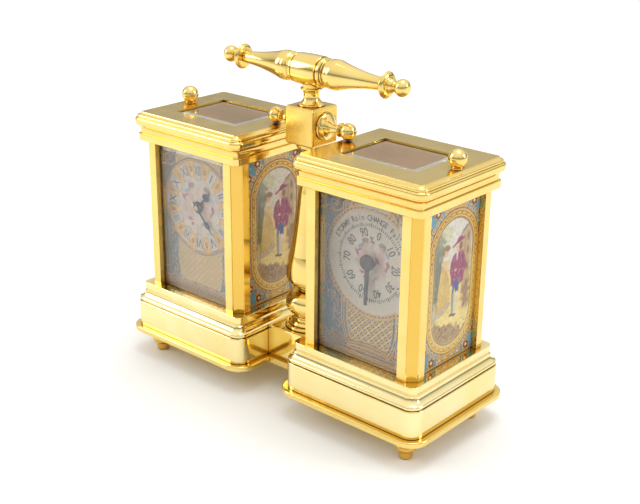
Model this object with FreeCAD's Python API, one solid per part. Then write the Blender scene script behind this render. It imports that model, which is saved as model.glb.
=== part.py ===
"""Twin carriage clock set: a timepiece and a matching hygrometer in two small brass cases.

Both cases stand on one base plate, with a turned column between them that carries a square
block, two side finials and a turned T handle.  Millimetres, +Z up, front towards -Y, with the
origin at the bottom centre, under the feet.  Each node is written to parts/NODE.step.
"""
import FreeCAD, Part
import math
import os

V = FreeCAD.Vector

# ---------------------------------------------------------------- driving dimensions
CASE_PITCH = 54.66          # distance between the centre lines of the two cases
PILLAR_HALF_X = 17.0        # outer faces of the corner pillars
PILLAR_HALF_Y = 14.6
FOOT_H = 6.2                # foot, from the table to the base plate
PLATE_T = 1.5
PLATE_PROUD = 4.45          # base plate beyond the pillar faces
PLINTH_H = 7.05
PLINTH_PROUD = 3.0
MOULDING_H = 5.1            # stepped moulding between plinth and pillars
LEDGE_PROUD = 1.25
CORNER_R = 1.6              # rounding of the ledge corners
PILLAR_H = 39.65
CORNICE_H = 6.04
FRIEZE_PROUD = 1.1          # flat band under the cornice
LID_T = 1.31
WALL = 4.2                  # cornice wall, from the frieze face inwards

BRIDGE_HALF_Y = 7.0         # block that joins the two plinths
BRIDGE_H = 8.3
COLUMN_Y = 0.7              # column, block and handle stand a little behind the middle
PLATE_BRIDGE_HALF_Y = 8.14

OPENING_HALF_X = 12.4       # clear width between the front pillars
OPENING_HALF_Y = 10.4       # clear width between the side pillars
GLASS_T = 1.1
GLASS_EDGE_T = 0.5
GLASS_RECESS = 1.3          # glass face behind the pillar face
GLASS_ENTRY = 0.9           # glass hidden in the pillar groove
BEVEL_W = 1.7               # visible bevel
PANEL_T = 1.2               # porcelain side panel
PANEL_RECESS = 1.6
PANEL_ENTRY = 1.1
DIAL_T = 1.0
HANDS_ROOM = 1.3            # from the back of the glass to the clock dial
POINTER_ROOM = 2.1          # how much further back the hygrometer dial stands
DIAL_CENTRE_UP = 24.3       # centre of the hands above the ledge
POINTER_DROP = 0.5          # humidity pointer's axis below the level of the hands
FIT = 0.05                  # gap between pieces that seat in each other
RUN = 0.05                  # radial clearance of a shaft in its hole
GAP = 0.2                   # gap around a moving piece

LID_OPEN_X = 10.8           # half sizes of the glazed opening in the lid
LID_OPEN_Y = 8.5
LID_REBATE = 0.9
LID_KNOB_X = 15.3           # lid knob from the case's centre line
LID_KNOB_R = 2.05

BLOCK_HALF_X = 4.45
BLOCK_HALF_Y = 4.6
BLOCK_H = 9.27
BLOCK_DROP = 2.6            # block's underside below the lid's top
FINIAL_UP = 4.75            # finial axis above the block's underside
HANDLE_R = 3.7
HANDLE_UP = 8.35            # handle axis above the block's top
BARREL_HALF = 4.9
ARM_L = 17.4                # arm, from the barrel's end to its collar
ROD_R = 0.9

DOOR_T = 1.6
DOOR_FRAME_W = 2.0
HINGE_PIN_R = 0.35
KNOB_R = 1.1

# going train: module and tooth counts
MODULE = 0.2
BARREL_TEETH = 72
CENTRE_PINION = 12
CENTRE_TEETH = 60
THIRD_PINION = 10
THIRD_TEETH = 60
CONTRATE_PINION = 10
CONTRATE_TEETH = 40
ESCAPE_PINION = 8
CANNON_TEETH = 10           # motion work behind the dial, 12 to 1 in two steps
MINUTE_TEETH = 30
MINUTE_PINION = 8
HOUR_TEETH = 32
MOVEMENT_HALF_X = 12.5
MOVEMENT_T = 0.8
MOVEMENT_FRONT_Y = -6.0
MOVEMENT_BACK_Y = 5.4
HOUR_ANGLE = 41.5           # hands stand at 1:23, degrees clockwise from twelve
MINUTE_ANGLE = 138.0
POINTER_ANGLE = 182.0       # humidity pointer near the middle of its scale

# ---------------------------------------------------------------- derived levels and places
PLATE_Z = FOOT_H
PLINTH_Z = PLATE_Z + PLATE_T
MOULDING_Z = PLINTH_Z + PLINTH_H
LEDGE_Z = MOULDING_Z + MOULDING_H
FRIEZE_Z = LEDGE_Z + PILLAR_H
LID_Z = FRIEZE_Z + CORNICE_H
LID_TOP = LID_Z + LID_T
BLOCK_Z = LID_TOP - BLOCK_DROP
BLOCK_TOP = BLOCK_Z + BLOCK_H
HANDLE_Z = BLOCK_TOP + HANDLE_UP
CENTRE_Z = LEDGE_Z + DIAL_CENTRE_UP
POINTER_Z = CENTRE_Z - POINTER_DROP
LEFT = -CASE_PITCH / 2
RIGHT = CASE_PITCH / 2
PLATE_HALF_X = PILLAR_HALF_X + PLATE_PROUD
PLATE_HALF_Y = PILLAR_HALF_Y + PLATE_PROUD
GLASS_FRONT_Y = PILLAR_HALF_Y - GLASS_RECESS
CLOCK_DIAL_Y = GLASS_T + HANDS_ROOM - GLASS_FRONT_Y      # front faces of the two porcelain dials
HYGRO_DIAL_Y = CLOCK_DIAL_Y + POINTER_ROOM
PANEL_OUT = PILLAR_HALF_X - PANEL_RECESS
PANEL_IN = PANEL_OUT - PANEL_T
DIAL_HALF_X = PANEL_IN - 0.2


# ---------------------------------------------------------------- drawing helpers
def edge(a, b, bulge):
    """Line from a to b, or an arc whose sagitta is bulge times half the chord."""
    if not bulge:
        return Part.LineSegment(a, b).toShape()
    across = (b - a).cross(V(0, 1, 0)) * (bulge / 2)
    return Part.Arc(a, (a + b) / 2 + across, b).toShape()


def section(points):
    """Face in the XZ plane from (x, z) or (x, z, bulge) points; a bulge bends the edge
    that ends at its point: positive to the right of the direction of travel."""
    spots = [V(p[0], 0, p[1]) for p in points]
    edges = []
    for i, p in enumerate(points):
        edges.append(edge(spots[i - 1], spots[i], p[2] if len(p) > 2 else 0))
    return Part.Face(Part.Wire(Part.sortEdges(edges)[0]))


def turned(points, bore=0.0):
    """Solid of revolution about Z from the outline (radius, height), with an optional bore."""
    outline = [(0, points[0][1])] + list(points) + [(0, points[-1][1])]
    solid = section(outline).revolve(V(0, 0, 0), V(0, 0, 1), 360)
    if bore:
        low, high = points[0][1], points[-1][1]
        solid = solid.cut(Part.makeCylinder(bore, high - low + 2, V(0, 0, low - 1)))
    return solid


def box(x0, x1, y0, y1, z0, z1):
    return Part.makeBox(x1 - x0, y1 - y0, z1 - z0, V(x0, y0, z0))


def cyl(r, x, y, z, length, axis=V(0, 0, 1)):
    return Part.makeCylinder(r, length, V(x, y, z), axis)


def moved(shape, x=0, y=0, z=0):
    copy = shape.copy()
    copy.translate(V(x, y, z))
    return copy


def turned_about(shape, axis, angle, centre=V(0, 0, 0)):
    copy = shape.copy()
    copy.rotate(centre, axis, angle)
    return copy


def fused(shapes):
    whole = shapes[0].multiFuse(list(shapes[1:])) if len(shapes) > 1 else shapes[0]
    return whole.removeSplitter()


def rounded_tower(points, half_x, half_y, corner_r, z):
    """Moulded block with rounded corners.  points are (offset, height) from the nominal
    half sizes; the corner radius grows with the offset, as a turned moulding's would."""
    axis_x, axis_y = half_x - corner_r, half_y - corner_r
    outline = [(corner_r + p[0],) + tuple(p[1:]) for p in points]
    low, high = points[0][1], points[-1][1]
    corner = turned(outline)
    parts = [moved(corner, sx * axis_x, sy * axis_y) for sx in (-1, 1) for sy in (-1, 1)]
    face = section([(0, low)] + outline + [(0, high)])
    along_y = face.extrude(V(0, 2 * axis_y, 0))
    along_x = turned_about(face, V(0, 0, 1), 90).extrude(V(-2 * axis_x, 0, 0))
    for sign in (1, -1):
        side = moved(along_y, axis_x, -axis_y)
        wall = moved(along_x, axis_x, axis_y)
        if sign < 0:
            side = turned_about(side, V(0, 0, 1), 180)
            wall = turned_about(wall, V(0, 0, 1), 180)
        parts += [side, wall]
    parts.append(box(-axis_x, axis_x, -axis_y, axis_y, low, high))
    return moved(fused(parts), 0, 0, z)


def prism(points, z0, z1):
    """Upright prism from a plan outline of (x, y) points."""
    spots = [V(x, y, z0) for x, y in points]
    wire = Part.makePolygon(spots + [spots[0]])
    return Part.Face(wire).extrude(V(0, 0, z1 - z0))


def bevelled_glass(half_w, half_h, bevel_w, bevel_h, thick, edge_t):
    """Bevelled plate lying in XY, back at z = 0, bevelled towards +Z."""
    def outline(w, h, z):
        return Part.makePolygon([V(-w, -h, z), V(w, -h, z), V(w, h, z), V(-w, h, z), V(-w, -h, z)])
    slab = box(-half_w, half_w, -half_h, half_h, 0, edge_t)
    crown = Part.makeLoft([outline(half_w, half_h, edge_t),
                           outline(half_w - bevel_w, half_h - bevel_h, thick)], True, True)
    return fused([slab, crown])


def upright(plate, y, z_mid, towards_back=False):
    """Stands a plate that lies in XY upright, its bevelled face towards -Y or +Y."""
    angle = -90 if towards_back else 90
    return moved(turned_about(plate, V(1, 0, 0), angle), 0, y, z_mid)


def gear(teeth, thick, phase=0.0, backlash=0.16):
    """Spur gear about Y from y = 0 to y = thick.  phase is in tooth pitches."""
    r = teeth * MODULE / 2
    tip, root = r + 0.75 * MODULE, r - 1.0 * MODULE
    pitch = 2 * math.pi / teeth
    half_tip = pitch * (0.25 - backlash / 2) - 0.75 * MODULE * 0.42 / r
    half_root = pitch * (0.25 - backlash / 2) + 1.0 * MODULE * 0.30 / r
    spots = []
    for i in range(teeth):
        middle = (i + phase) * pitch
        for radius, turn in ((root, -half_root), (tip, -half_tip), (tip, half_tip),
                             (root, half_root)):
            a = middle + turn
            spots.append(V(radius * math.sin(a), 0, radius * math.cos(a)))
    return Part.Face(Part.makePolygon(spots + [spots[0]])).extrude(V(0, thick, 0))


def mesh_phase(own_teeth, other_teeth, other_phase, bearing):
    """Phase, in own pitches, that puts a gap opposite the other gear's tooth.  bearing is the
    clockwise angle from +Z, in degrees, at which the other gear sees this one."""
    other_pitch = 360.0 / other_teeth
    at = (bearing / other_pitch - other_phase) % 1.0
    own_bearing = bearing + 180.0
    return (own_bearing / (360.0 / own_teeth) + at + 0.5) % 1.0


def spoked(teeth, thick, phase, hub_r, spokes=4):
    """Crossed-out train wheel about Y."""
    wheel = gear(teeth, thick, phase)
    r = teeth * MODULE / 2
    rim_in, hub = r - 1.0, hub_r + 0.7
    ring = Part.makeCylinder(rim_in, thick, V(0, 0, 0), V(0, 1, 0))
    ring = ring.cut(Part.makeCylinder(hub, thick, V(0, 0, 0), V(0, 1, 0)))
    for i in range(spokes):
        arm = box(-0.4, 0.4, 0, thick, 0, rim_in + 1)
        ring = ring.cut(turned_about(arm, V(0, 1, 0), 360.0 * i / spokes))
    return wheel.cut(ring)


nodes = {}


def add(name, *shapes):
    """Registers a node, as one solid or as a group of separate solids."""
    solids = [solid for shape in shapes for solid in shape.Solids]
    nodes[name] = solids[0] if len(solids) == 1 else Part.makeCompound(solids)


# ---------------------------------------------------------------- base
def corner_places(case_x, side):
    """Screw axes in the two pillars on one side of a case (side +1 is the outer side)."""
    x = OPENING_HALF_X + GLASS_ENTRY + SCREW_WALL + SCREW_R
    y = OPENING_HALF_Y + PANEL_ENTRY + SCREW_WALL + SCREW_R
    outward = side * math.copysign(1, case_x)
    return [(case_x + outward * x, sy * y) for sy in (-1, 1)]


def screw_places(case_x):
    return corner_places(case_x, -1)


def foot_places():
    return corner_places(LEFT, 1) + corner_places(RIGHT, 1)


SCREW_R = 0.5
SCREW_WALL = 0.85           # metal between a screw and the glass and panel grooves
SCREW_HEAD_R = 1.15
SCREW_HEAD_H = 0.7
SCREW_IN_PILLAR = 4.0
CLAMP_L = PLATE_T + PLINTH_H + MOULDING_H + SCREW_IN_PILLAR
STUD_R = 0.9
NUT_R = 2.2
NUT_H = 1.4


def base_plate():
    edge_r = 0.35
    rim = [(-edge_r, 0), (0, edge_r, -0.41), (0, PLATE_T - edge_r), (-edge_r, PLATE_T, -0.41)]
    lobe = rounded_tower(rim, PLATE_HALF_X, PLATE_HALF_Y, CORNER_R + 3.2, PLATE_Z)
    bridge_x = CASE_PITCH / 2
    bridge = box(-bridge_x, bridge_x, -PLATE_BRIDGE_HALF_Y, PLATE_BRIDGE_HALF_Y,
                 PLATE_Z, PLATE_Z + PLATE_T)
    plate = fused([moved(lobe, LEFT), moved(lobe, RIGHT), bridge])
    for case_x in (LEFT, RIGHT):
        for x, y in screw_places(case_x):
            plate = plate.cut(cyl(SCREW_R + FIT, x, y, PLATE_Z - 1, PLATE_T + 2))
            plate = plate.cut(cyl(SCREW_HEAD_R + FIT, x, y, PLATE_Z - 1, 1 + SCREW_HEAD_H))
    for x, y in foot_places():
        plate = plate.cut(cyl(SCREW_R + FIT, x, y, PLATE_Z - 1, PLATE_T + 2))
    return plate.cut(cyl(ROD_R + FIT, 0, COLUMN_Y, PLATE_Z - 1, PLATE_T + 2))


def foot():
    """Turned foot; its long screw clamps plate and plinth to an outer pillar."""
    return turned([(1.2, 0), (1.65, 0.45, -0.41), (1.65, 1.7), (2.3, 2.4, 0.2), (2.6, 2.8, -0.3),
                   (2.6, 3.3), (2.3, 3.6, -0.41), (1.9, 3.7), (1.9, 4.1), (2.45, 4.3),
                   (2.45, 5.3), (2.2, FOOT_H, -0.2), (SCREW_R, FOOT_H), (SCREW_R, FOOT_H + CLAMP_L)])


def plinth(case_x):
    rise = PLINTH_H
    out = PLINTH_PROUD - LEDGE_PROUD
    points = [(out - 0.15, 0), (out, 0.15, -0.41), (out, rise - 0.3), (out - 0.3, rise, -0.41),
              (out - 0.45, rise), (out - 0.45, rise + 0.35), (out - 0.2, rise + 0.35),
              (out - 0.3, rise + 1.1, -0.35), (0.15, rise + 2.7, 0.25), (-0.25, rise + 3.0),
              (-0.25, rise + 3.35), (0, rise + 3.6, -0.41), (0, rise + MOULDING_H - 0.2),
              (-0.2, rise + MOULDING_H, -0.41)]
    block = rounded_tower(points, PILLAR_HALF_X + LEDGE_PROUD, PILLAR_HALF_Y + LEDGE_PROUD,
                          CORNER_R, PLINTH_Z)
    block = moved(block, case_x)
    for x, y in corner_places(case_x, -1) + corner_places(case_x, 1):
        block = block.cut(cyl(SCREW_R + FIT, x, y, PLINTH_Z - 1, PLINTH_H + MOULDING_H + 2))
    x, y = hinge_place(case_x)
    return block.cut(cyl(HINGE_PIN_R + FIT, x, y, LEDGE_Z - HINGE_SEAT, HINGE_SEAT + 1))


def case_screws():
    screws = []
    for case_x in (LEFT, RIGHT):
        for x, y in screw_places(case_x):
            head = cyl(SCREW_HEAD_R, x, y, PLATE_Z, SCREW_HEAD_H - FIT)
            slot = box(x - SCREW_HEAD_R, x + SCREW_HEAD_R, y - 0.15, y + 0.15, PLATE_Z, PLATE_Z + 0.3)
            screws.append(fused([head.cut(slot), cyl(SCREW_R, x, y, PLATE_Z + 0.3, CLAMP_L - 0.3)]))
    return screws


def bridge_block():
    half_x = CASE_PITCH / 2 - PILLAR_HALF_X - PLINTH_PROUD - FIT
    top = PLINTH_Z + BRIDGE_H
    block = box(-half_x, half_x, -BRIDGE_HALF_Y, BRIDGE_HALF_Y, PLINTH_Z, top)
    edges = [e for e in block.Edges if e.BoundBox.ZMin > top - 0.01 and e.BoundBox.YLength < 0.01]
    block = block.makeChamfer(0.3, edges)
    return block.cut(cyl(ROD_R + FIT, 0, COLUMN_Y, PLINTH_Z - 1, BRIDGE_H + 2))


# ---------------------------------------------------------------- cases
PILLAR_FLAT = 2.4           # flat strip on the pillar's front, beside the glass
PILLAR_STEP = 0.35


def pillar_plan():
    """Plan of the +X, +Y corner pillar, with grooves for the glass and the side panel."""
    x, y = PILLAR_HALF_X, PILLAR_HALF_Y
    inner_x, inner_y = OPENING_HALF_X, OPENING_HALF_Y
    strip_x, strip_y = inner_x + PILLAR_FLAT, inner_y + PILLAR_FLAT - 0.3
    return [(inner_x, y), (strip_x, y), (strip_x, y - PILLAR_STEP),
            (x - PILLAR_STEP, strip_y), (x, strip_y), (x, inner_y), (inner_x, inner_y)]


def pillars(case_x, dial_y):
    solids = []
    body = prism(pillar_plan(), LEDGE_Z, FRIEZE_Z)
    glass = box(0, OPENING_HALF_X + GLASS_ENTRY + FIT, GLASS_FRONT_Y - GLASS_T - FIT,
                GLASS_FRONT_Y + FIT, LEDGE_Z - 1, FRIEZE_Z + 1)
    panel = box(PANEL_IN - FIT, PANEL_OUT + FIT, 0, OPENING_HALF_Y + PANEL_ENTRY + FIT,
                LEDGE_Z - 1, FRIEZE_Z + 1)
    dial = box(0, DIAL_HALF_X + FIT, 0, -dial_y + FIT, LEDGE_Z - 1, FRIEZE_Z + 1)
    hole_x, hole_y = OPENING_HALF_X + GLASS_ENTRY, OPENING_HALF_Y + PANEL_ENTRY
    hole = cyl(SCREW_R + FIT, hole_x + SCREW_WALL + SCREW_R, hole_y + SCREW_WALL + SCREW_R,
               LEDGE_Z - 1, SCREW_IN_PILLAR + 1 + FIT)
    for sx in (-1, 1):
        for sy in (-1, 1):
            pillar = body.cut(panel).cut(hole)
            if sy < 0:
                pillar = pillar.cut(glass).cut(dial)
            if sx < 0:
                pillar = pillar.mirror(V(0, 0, 0), V(1, 0, 0))
            if sy < 0:
                pillar = pillar.mirror(V(0, 0, 0), V(0, 1, 0))
            solids.append(moved(pillar, case_x))
    return solids


def cornice(case_x):
    top = CORNICE_H
    proud = FRIEZE_PROUD
    points = [(-0.15, 0), (0, 0.15), (0, 1.7), (-0.15, 1.83), (-0.5, 1.9), (-0.5, 2.15),
              (0.45, 4.15, 0.35), (0.6, 4.2), (0.6, 4.45), (0.83, 4.75, -0.3),
              (0.83, 5.3), (0.45, top, -0.35)]
    ring = rounded_tower(points, PILLAR_HALF_X + proud, PILLAR_HALF_Y + proud, CORNER_R, FRIEZE_Z)
    inner_x, inner_y = PILLAR_HALF_X + proud - WALL, PILLAR_HALF_Y + proud - WALL
    ring = ring.cut(box(-inner_x, inner_x, -inner_y, inner_y, FRIEZE_Z - 1, LID_Z + 1))
    ring = moved(ring, case_x)
    x, y = hinge_place(case_x)
    return ring.cut(cyl(HINGE_PIN_R + FIT, x, y, FRIEZE_Z - 1, 1 + HINGE_SEAT))


def lid(case_x):
    points = [(0, 0), (0, 0.35), (-0.35, 0.75, -0.35), (-1.1, LID_T, 0.2)]
    proud = FRIEZE_PROUD + 0.25
    plate = rounded_tower(points, PILLAR_HALF_X + proud, PILLAR_HALF_Y + proud,
                          CORNER_R + 0.25, LID_Z)
    opening = box(-LID_OPEN_X, LID_OPEN_X, -LID_OPEN_Y, LID_OPEN_Y, LID_Z - 1, LID_TOP + 1)
    grown_x, grown_y = LID_OPEN_X + LID_REBATE, LID_OPEN_Y + LID_REBATE
    rebate = box(-grown_x, grown_x, -grown_y, grown_y, LID_Z - 1, LID_Z + LID_T / 2)
    plate = moved(plate.cut(opening).cut(rebate), case_x)
    side = math.copysign(LID_KNOB_X, case_x)
    return plate.cut(cyl(STUD_R + FIT, case_x + side, COLUMN_Y, LID_Z - 1, LID_T + 2))


def lid_glass(case_x):
    flange = box(-LID_OPEN_X - LID_REBATE + FIT, LID_OPEN_X + LID_REBATE - FIT,
                 -LID_OPEN_Y - LID_REBATE + FIT, LID_OPEN_Y + LID_REBATE - FIT,
                 0, LID_T / 2 - FIT)
    crown = bevelled_glass(LID_OPEN_X - FIT, LID_OPEN_Y - FIT, BEVEL_W, BEVEL_W,
                           LID_T - 0.1, LID_T / 2)
    return moved(fused([flange, crown]), case_x, 0, LID_Z)


def lid_knobs():
    """Ball knobs at the outer ends of the lids, each with a stud through its lid."""
    neck = 0.3
    knob = turned([(STUD_R, -LID_T), (STUD_R, 0), (1.7, 0), (1.6, 0.1), (1.3, neck, 0.3),
                   (0.02, neck + 2 * LID_KNOB_R - 0.1, -0.72)])
    return [moved(knob, x, COLUMN_Y, LID_TOP) for x in (LEFT - LID_KNOB_X, RIGHT + LID_KNOB_X)]


def front_glass(case_x):
    height = PILLAR_H - 2 * FIT
    plate = bevelled_glass(OPENING_HALF_X + GLASS_ENTRY, height / 2, GLASS_ENTRY + BEVEL_W,
                           BEVEL_W, GLASS_T, GLASS_EDGE_T)
    back_y = -(GLASS_FRONT_Y - GLASS_T)
    return moved(upright(plate, back_y, LEDGE_Z + FIT + height / 2), case_x)


def side_panel(case_x, side):
    low, high = LEDGE_Z + FIT, FRIEZE_Z - FIT
    reach = OPENING_HALF_Y + PANEL_ENTRY
    x0, x1 = sorted((case_x + side * PANEL_IN, case_x + side * PANEL_OUT))
    return box(x0, x1, -reach, reach, low, high)


def dial(case_x, face_y, bore, centre_z):
    plate = box(case_x - DIAL_HALF_X, case_x + DIAL_HALF_X, face_y, face_y + DIAL_T,
                LEDGE_Z + FIT, FRIEZE_Z - FIT)
    return plate.cut(cyl(bore, case_x, face_y - 1, centre_z, DIAL_T + 2, V(0, 1, 0)))


HINGE_SEAT = 1.2            # pin in the plinth and in the cornice
HINGE_IN_DOOR = 2.5
DOOR_HALF_X = OPENING_HALF_X - GAP
DOOR_OUT_Y = PILLAR_HALF_Y - 0.2


def hinge_place(case_x):
    """Door hinge axis, at the outer side of each case."""
    side = math.copysign(1, case_x)
    return case_x + side * (DOOR_HALF_X - DOOR_T / 2), DOOR_OUT_Y - DOOR_T / 2


def door(case_x):
    """Back door frame with a round hinge stile, a rebate for its glass and a knob hole."""
    side = math.copysign(1, case_x)
    low, high = LEDGE_Z + GAP, FRIEZE_Z - GAP
    hinge_x, hinge_y = side * (DOOR_HALF_X - DOOR_T / 2), DOOR_OUT_Y - DOOR_T / 2
    y0, y1 = DOOR_OUT_Y - DOOR_T, DOOR_OUT_Y
    flat = (-DOOR_HALF_X, hinge_x) if side > 0 else (hinge_x, DOOR_HALF_X)
    frame = fused([box(flat[0], flat[1], y0, y1, low, high),
                   cyl(DOOR_T / 2, hinge_x, hinge_y, low, high - low)])
    w = DOOR_HALF_X - DOOR_FRAME_W
    frame = frame.cut(box(-w, w, y0 - 1, y1 + 1, low + DOOR_FRAME_W, high - DOOR_FRAME_W))
    frame = frame.cut(box(-w - 0.6, w + 0.6, y0 - 1, y0 + DOOR_T / 2 + FIT,
                          low + DOOR_FRAME_W - 0.6, high - DOOR_FRAME_W + 0.6))
    for z in (low - 1, high - HINGE_IN_DOOR):
        frame = frame.cut(cyl(HINGE_PIN_R + RUN, hinge_x, hinge_y, z, HINGE_IN_DOOR + 1))
    knob_x = -side * (DOOR_HALF_X - DOOR_FRAME_W / 2)
    frame = frame.cut(cyl(0.45 + FIT, knob_x, y0 - 1, CENTRE_Z, DOOR_T + 2, V(0, 1, 0)))
    return moved(frame, case_x)


def door_glass(case_x):
    w = DOOR_HALF_X - DOOR_FRAME_W + 0.6 - FIT
    h = (PILLAR_H - 2 * GAP) / 2 - DOOR_FRAME_W + 0.6 - FIT
    plate = bevelled_glass(w, h, 1.6, 1.6, DOOR_T / 2, 0.4)
    return moved(upright(plate, DOOR_OUT_Y - DOOR_T, LEDGE_Z + PILLAR_H / 2, True), case_x)


def door_knob(case_x):
    side = math.copysign(1, case_x)
    knob = turned([(0.45, -DOOR_T), (0.45, 0), (0.9, 0), (0.6, 0.5, 0.3), (KNOB_R, 1.1, 0.2),
                   (0.02, 2.4, -0.7)])
    knob = turned_about(knob, V(1, 0, 0), -90)
    return moved(knob, case_x - side * (DOOR_HALF_X - DOOR_FRAME_W / 2), DOOR_OUT_Y, CENTRE_Z)


def hinge_pins():
    pins = []
    for case_x in (LEFT, RIGHT):
        x, y = hinge_place(case_x)
        length = HINGE_SEAT - FIT + GAP + HINGE_IN_DOOR - FIT
        pins.append(cyl(HINGE_PIN_R, x, y, LEDGE_Z - HINGE_SEAT + FIT, length))
        pins.append(cyl(HINGE_PIN_R, x, y, FRIEZE_Z + HINGE_SEAT - FIT - length, length))
    return pins


# ---------------------------------------------------------------- column, block and handle
COLUMN_Z = PLINTH_Z + BRIDGE_H
COLUMN_FOOT_H = 3.4
BUN_H = 7.0
COLUMN_R = 6.0              # widest radius of the baluster
BUN_R = 6.1
ROD_IN_BLOCK = 4.0
NECK_STUD_L = 2.0


def column_foot():
    h = COLUMN_FOOT_H
    ring = turned([(6.0, 0), (6.2, 0.4, -0.4), (6.0, 0.8, -0.4), (5.2, 0.9), (5.3, 1.4, -0.6),
                   (5.0, 1.8), (4.0, 2.8, 0.35), (3.8, 3.0), (4.0, h - 0.1, -0.5), (3.8, h)],
                  ROD_R + FIT)
    return moved(ring, 0, COLUMN_Y, COLUMN_Z)


def column_bun():
    h = BUN_H
    ball = turned([(3.9, 0), (BUN_R, 3.1, -0.38), (3.4, 6.1, -0.42), (2.9, 6.2), (2.8, 6.5),
                   (3.2, 6.8, -0.5), (3.0, h)], ROD_R + FIT)
    return moved(ball, 0, COLUMN_Y, COLUMN_Z + COLUMN_FOOT_H)


def column_baluster():
    low = COLUMN_Z + COLUMN_FOOT_H + BUN_H
    h = BLOCK_Z - low
    shaft = turned([(2.9, 0), (3.1, 0.4, -0.5), (5.3, 1.7, 0.15), (COLUMN_R, 3.6, -0.2),
                    (5.3, 9.3, -0.08), (3.1, 25.3, 0.02), (2.5, h - 7.2, 0.05),
                    (2.9, h - 6.9), (3.1, h - 6.4, -0.5), (2.9, h - 5.9, -0.5), (2.3, h - 5.6),
                    (2.4, h - 2.6, 0.15), (3.3, h - 1.2, 0.3), (3.6, h - 0.6, -0.4), (3.6, h)],
                   ROD_R + FIT)
    return moved(shaft, 0, COLUMN_Y, low)


def tie_rod():
    low = PLATE_Z - NUT_H - 0.4
    return cyl(ROD_R, 0, COLUMN_Y, low, BLOCK_Z + ROD_IN_BLOCK - low)


def tie_nut():
    corners = [(NUT_R * math.cos(math.radians(60 * i)), NUT_R * math.sin(math.radians(60 * i)))
               for i in range(6)]
    nut = prism(corners, PLATE_Z - NUT_H, PLATE_Z)
    nut = nut.cut(cyl(ROD_R + FIT, 0, 0, PLATE_Z - NUT_H - 1, NUT_H + 2))
    return moved(nut, 0, COLUMN_Y)


FINIAL_STUD_R = 0.7
FINIAL_STUD_L = 2.0


def centre_block():
    edge_r = 0.4
    rim = [(-edge_r, 0), (0, edge_r), (0, BLOCK_H - edge_r), (-edge_r, BLOCK_H)]
    block = rounded_tower(rim, BLOCK_HALF_X, BLOCK_HALF_Y, 0.6, BLOCK_Z)
    block = block.cut(cyl(ROD_R + FIT, 0, 0, BLOCK_Z - 1, ROD_IN_BLOCK + 1 + FIT))
    block = block.cut(cyl(ROD_R + FIT, 0, 0, BLOCK_TOP - NECK_STUD_L - FIT, 5))
    for side in (-1, 1):
        start = side * (BLOCK_HALF_X - FINIAL_STUD_L - FIT)
        hole = cyl(FINIAL_STUD_R + FIT, start, 0, BLOCK_Z + FINIAL_UP, 5, V(side, 0, 0))
        block = block.cut(hole)
    return moved(block, 0, COLUMN_Y)


def side_finials():
    """Trumpet finials on the block's left and right faces."""
    tip = turned([(FINIAL_STUD_R, -FINIAL_STUD_L), (FINIAL_STUD_R, 0), (3.35, 0),
                  (3.35, 0.5, -0.3), (2.4, 1.3, 0.25), (1.0, 3.9, 0.25), (0.8, 4.5),
                  (1.6, 4.7), (1.7, 5.0, -0.6), (1.1, 5.45), (0.02, 5.3 + 3.74, -0.78)])
    return [moved(turned_about(moved(tip, 0, 0, BLOCK_HALF_X), V(0, 1, 0), side * 90),
                  0, COLUMN_Y, BLOCK_Z + FINIAL_UP) for side in (-1, 1)]


def handle_neck():
    rise = HANDLE_UP - HANDLE_R
    neck = turned([(ROD_R, -NECK_STUD_L), (ROD_R, 0), (3.3, 0), (3.3, 0.35, -0.5),
                   (2.5, 0.8, 0.3), (1.9, 2.3, 0.2), (2.3, 3.6, 0.2), (2.6, 3.8), (2.6, 4.2, -0.6),
                   (2.2, 4.3), (2.2, rise + 0.5), (ROD_R, rise + 0.5), (ROD_R, rise + 2.5)])
    return moved(neck, 0, COLUMN_Y, BLOCK_TOP)


ARM_STUD_R = 1.0
ARM_STUD_L = 2.0


def handle_barrel():
    half, r = BARREL_HALF, HANDLE_R
    body = turned([(r - 0.5, -half), (r - 0.15, -half + 0.3, -0.2), (r - 0.15, -half + 0.8),
                   (r - 0.45, -half + 0.95), (r - 0.45, -half + 1.2), (r, -half + 1.35),
                   (r, half - 1.35, -0.03), (r - 0.45, half - 1.2), (r - 0.45, half - 0.95),
                   (r - 0.15, half - 0.8), (r - 0.15, half - 0.3), (r - 0.5, half, -0.2)])
    for z in (-half - 1, half - ARM_STUD_L - FIT):
        body = body.cut(cyl(ARM_STUD_R + FIT, 0, 0, z, ARM_STUD_L + 1 + FIT))
    body = turned_about(body, V(0, 1, 0), 90).cut(handle_seat())
    return moved(body, 0, COLUMN_Y, HANDLE_Z)


def handle_seat():
    """Space that the neck's upper end takes out of the barrel."""
    flat = cyl(2.2 + FIT, 0, 0, -HANDLE_R - 1, 1.5 + FIT)
    return flat.fuse(cyl(ROD_R + FIT, 0, 0, -HANDLE_R - 1, 3.5 + FIT))


def handle_arm(side):
    long = ARM_L
    arm = turned([(ARM_STUD_R, -ARM_STUD_L), (ARM_STUD_R, 0), (3.0, 0), (3.3, 0.3, -0.15),
                  (3.0, 0.6, -0.4), (3.55, 2.2, -0.25), (3.45, 4.2, -0.12),
                  (1.5, long - 1.2, 0.05), (1.35, long - 0.5), (2.1, long - 0.4),
                  (3.0, long + 0.1, -0.3), (3.0, long + 0.5, -0.6), (2.1, long + 1.1, -0.2),
                  (1.5, long + 1.5, 0.3), (1.6, long + 1.9, -0.5), (1.1, long + 2.5, -0.2),
                  (0.95, long + 3.0), (0.02, long + 3.0 + 3.35, -0.88)])
    arm = turned_about(moved(arm, 0, 0, BARREL_HALF), V(0, 1, 0), side * 90)
    return moved(arm, 0, COLUMN_Y, HANDLE_Z)


# ---------------------------------------------------------------- clock movement
Y = V(0, 1, 0)
PLATE_HALF_UP = 12.4
MOVEMENT_Z0 = CENTRE_Z - 17.5
MOVEMENT_Z1 = CENTRE_Z + PLATE_HALF_UP
ARBOR_R = 0.5
PIVOT_R = 0.35


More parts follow.
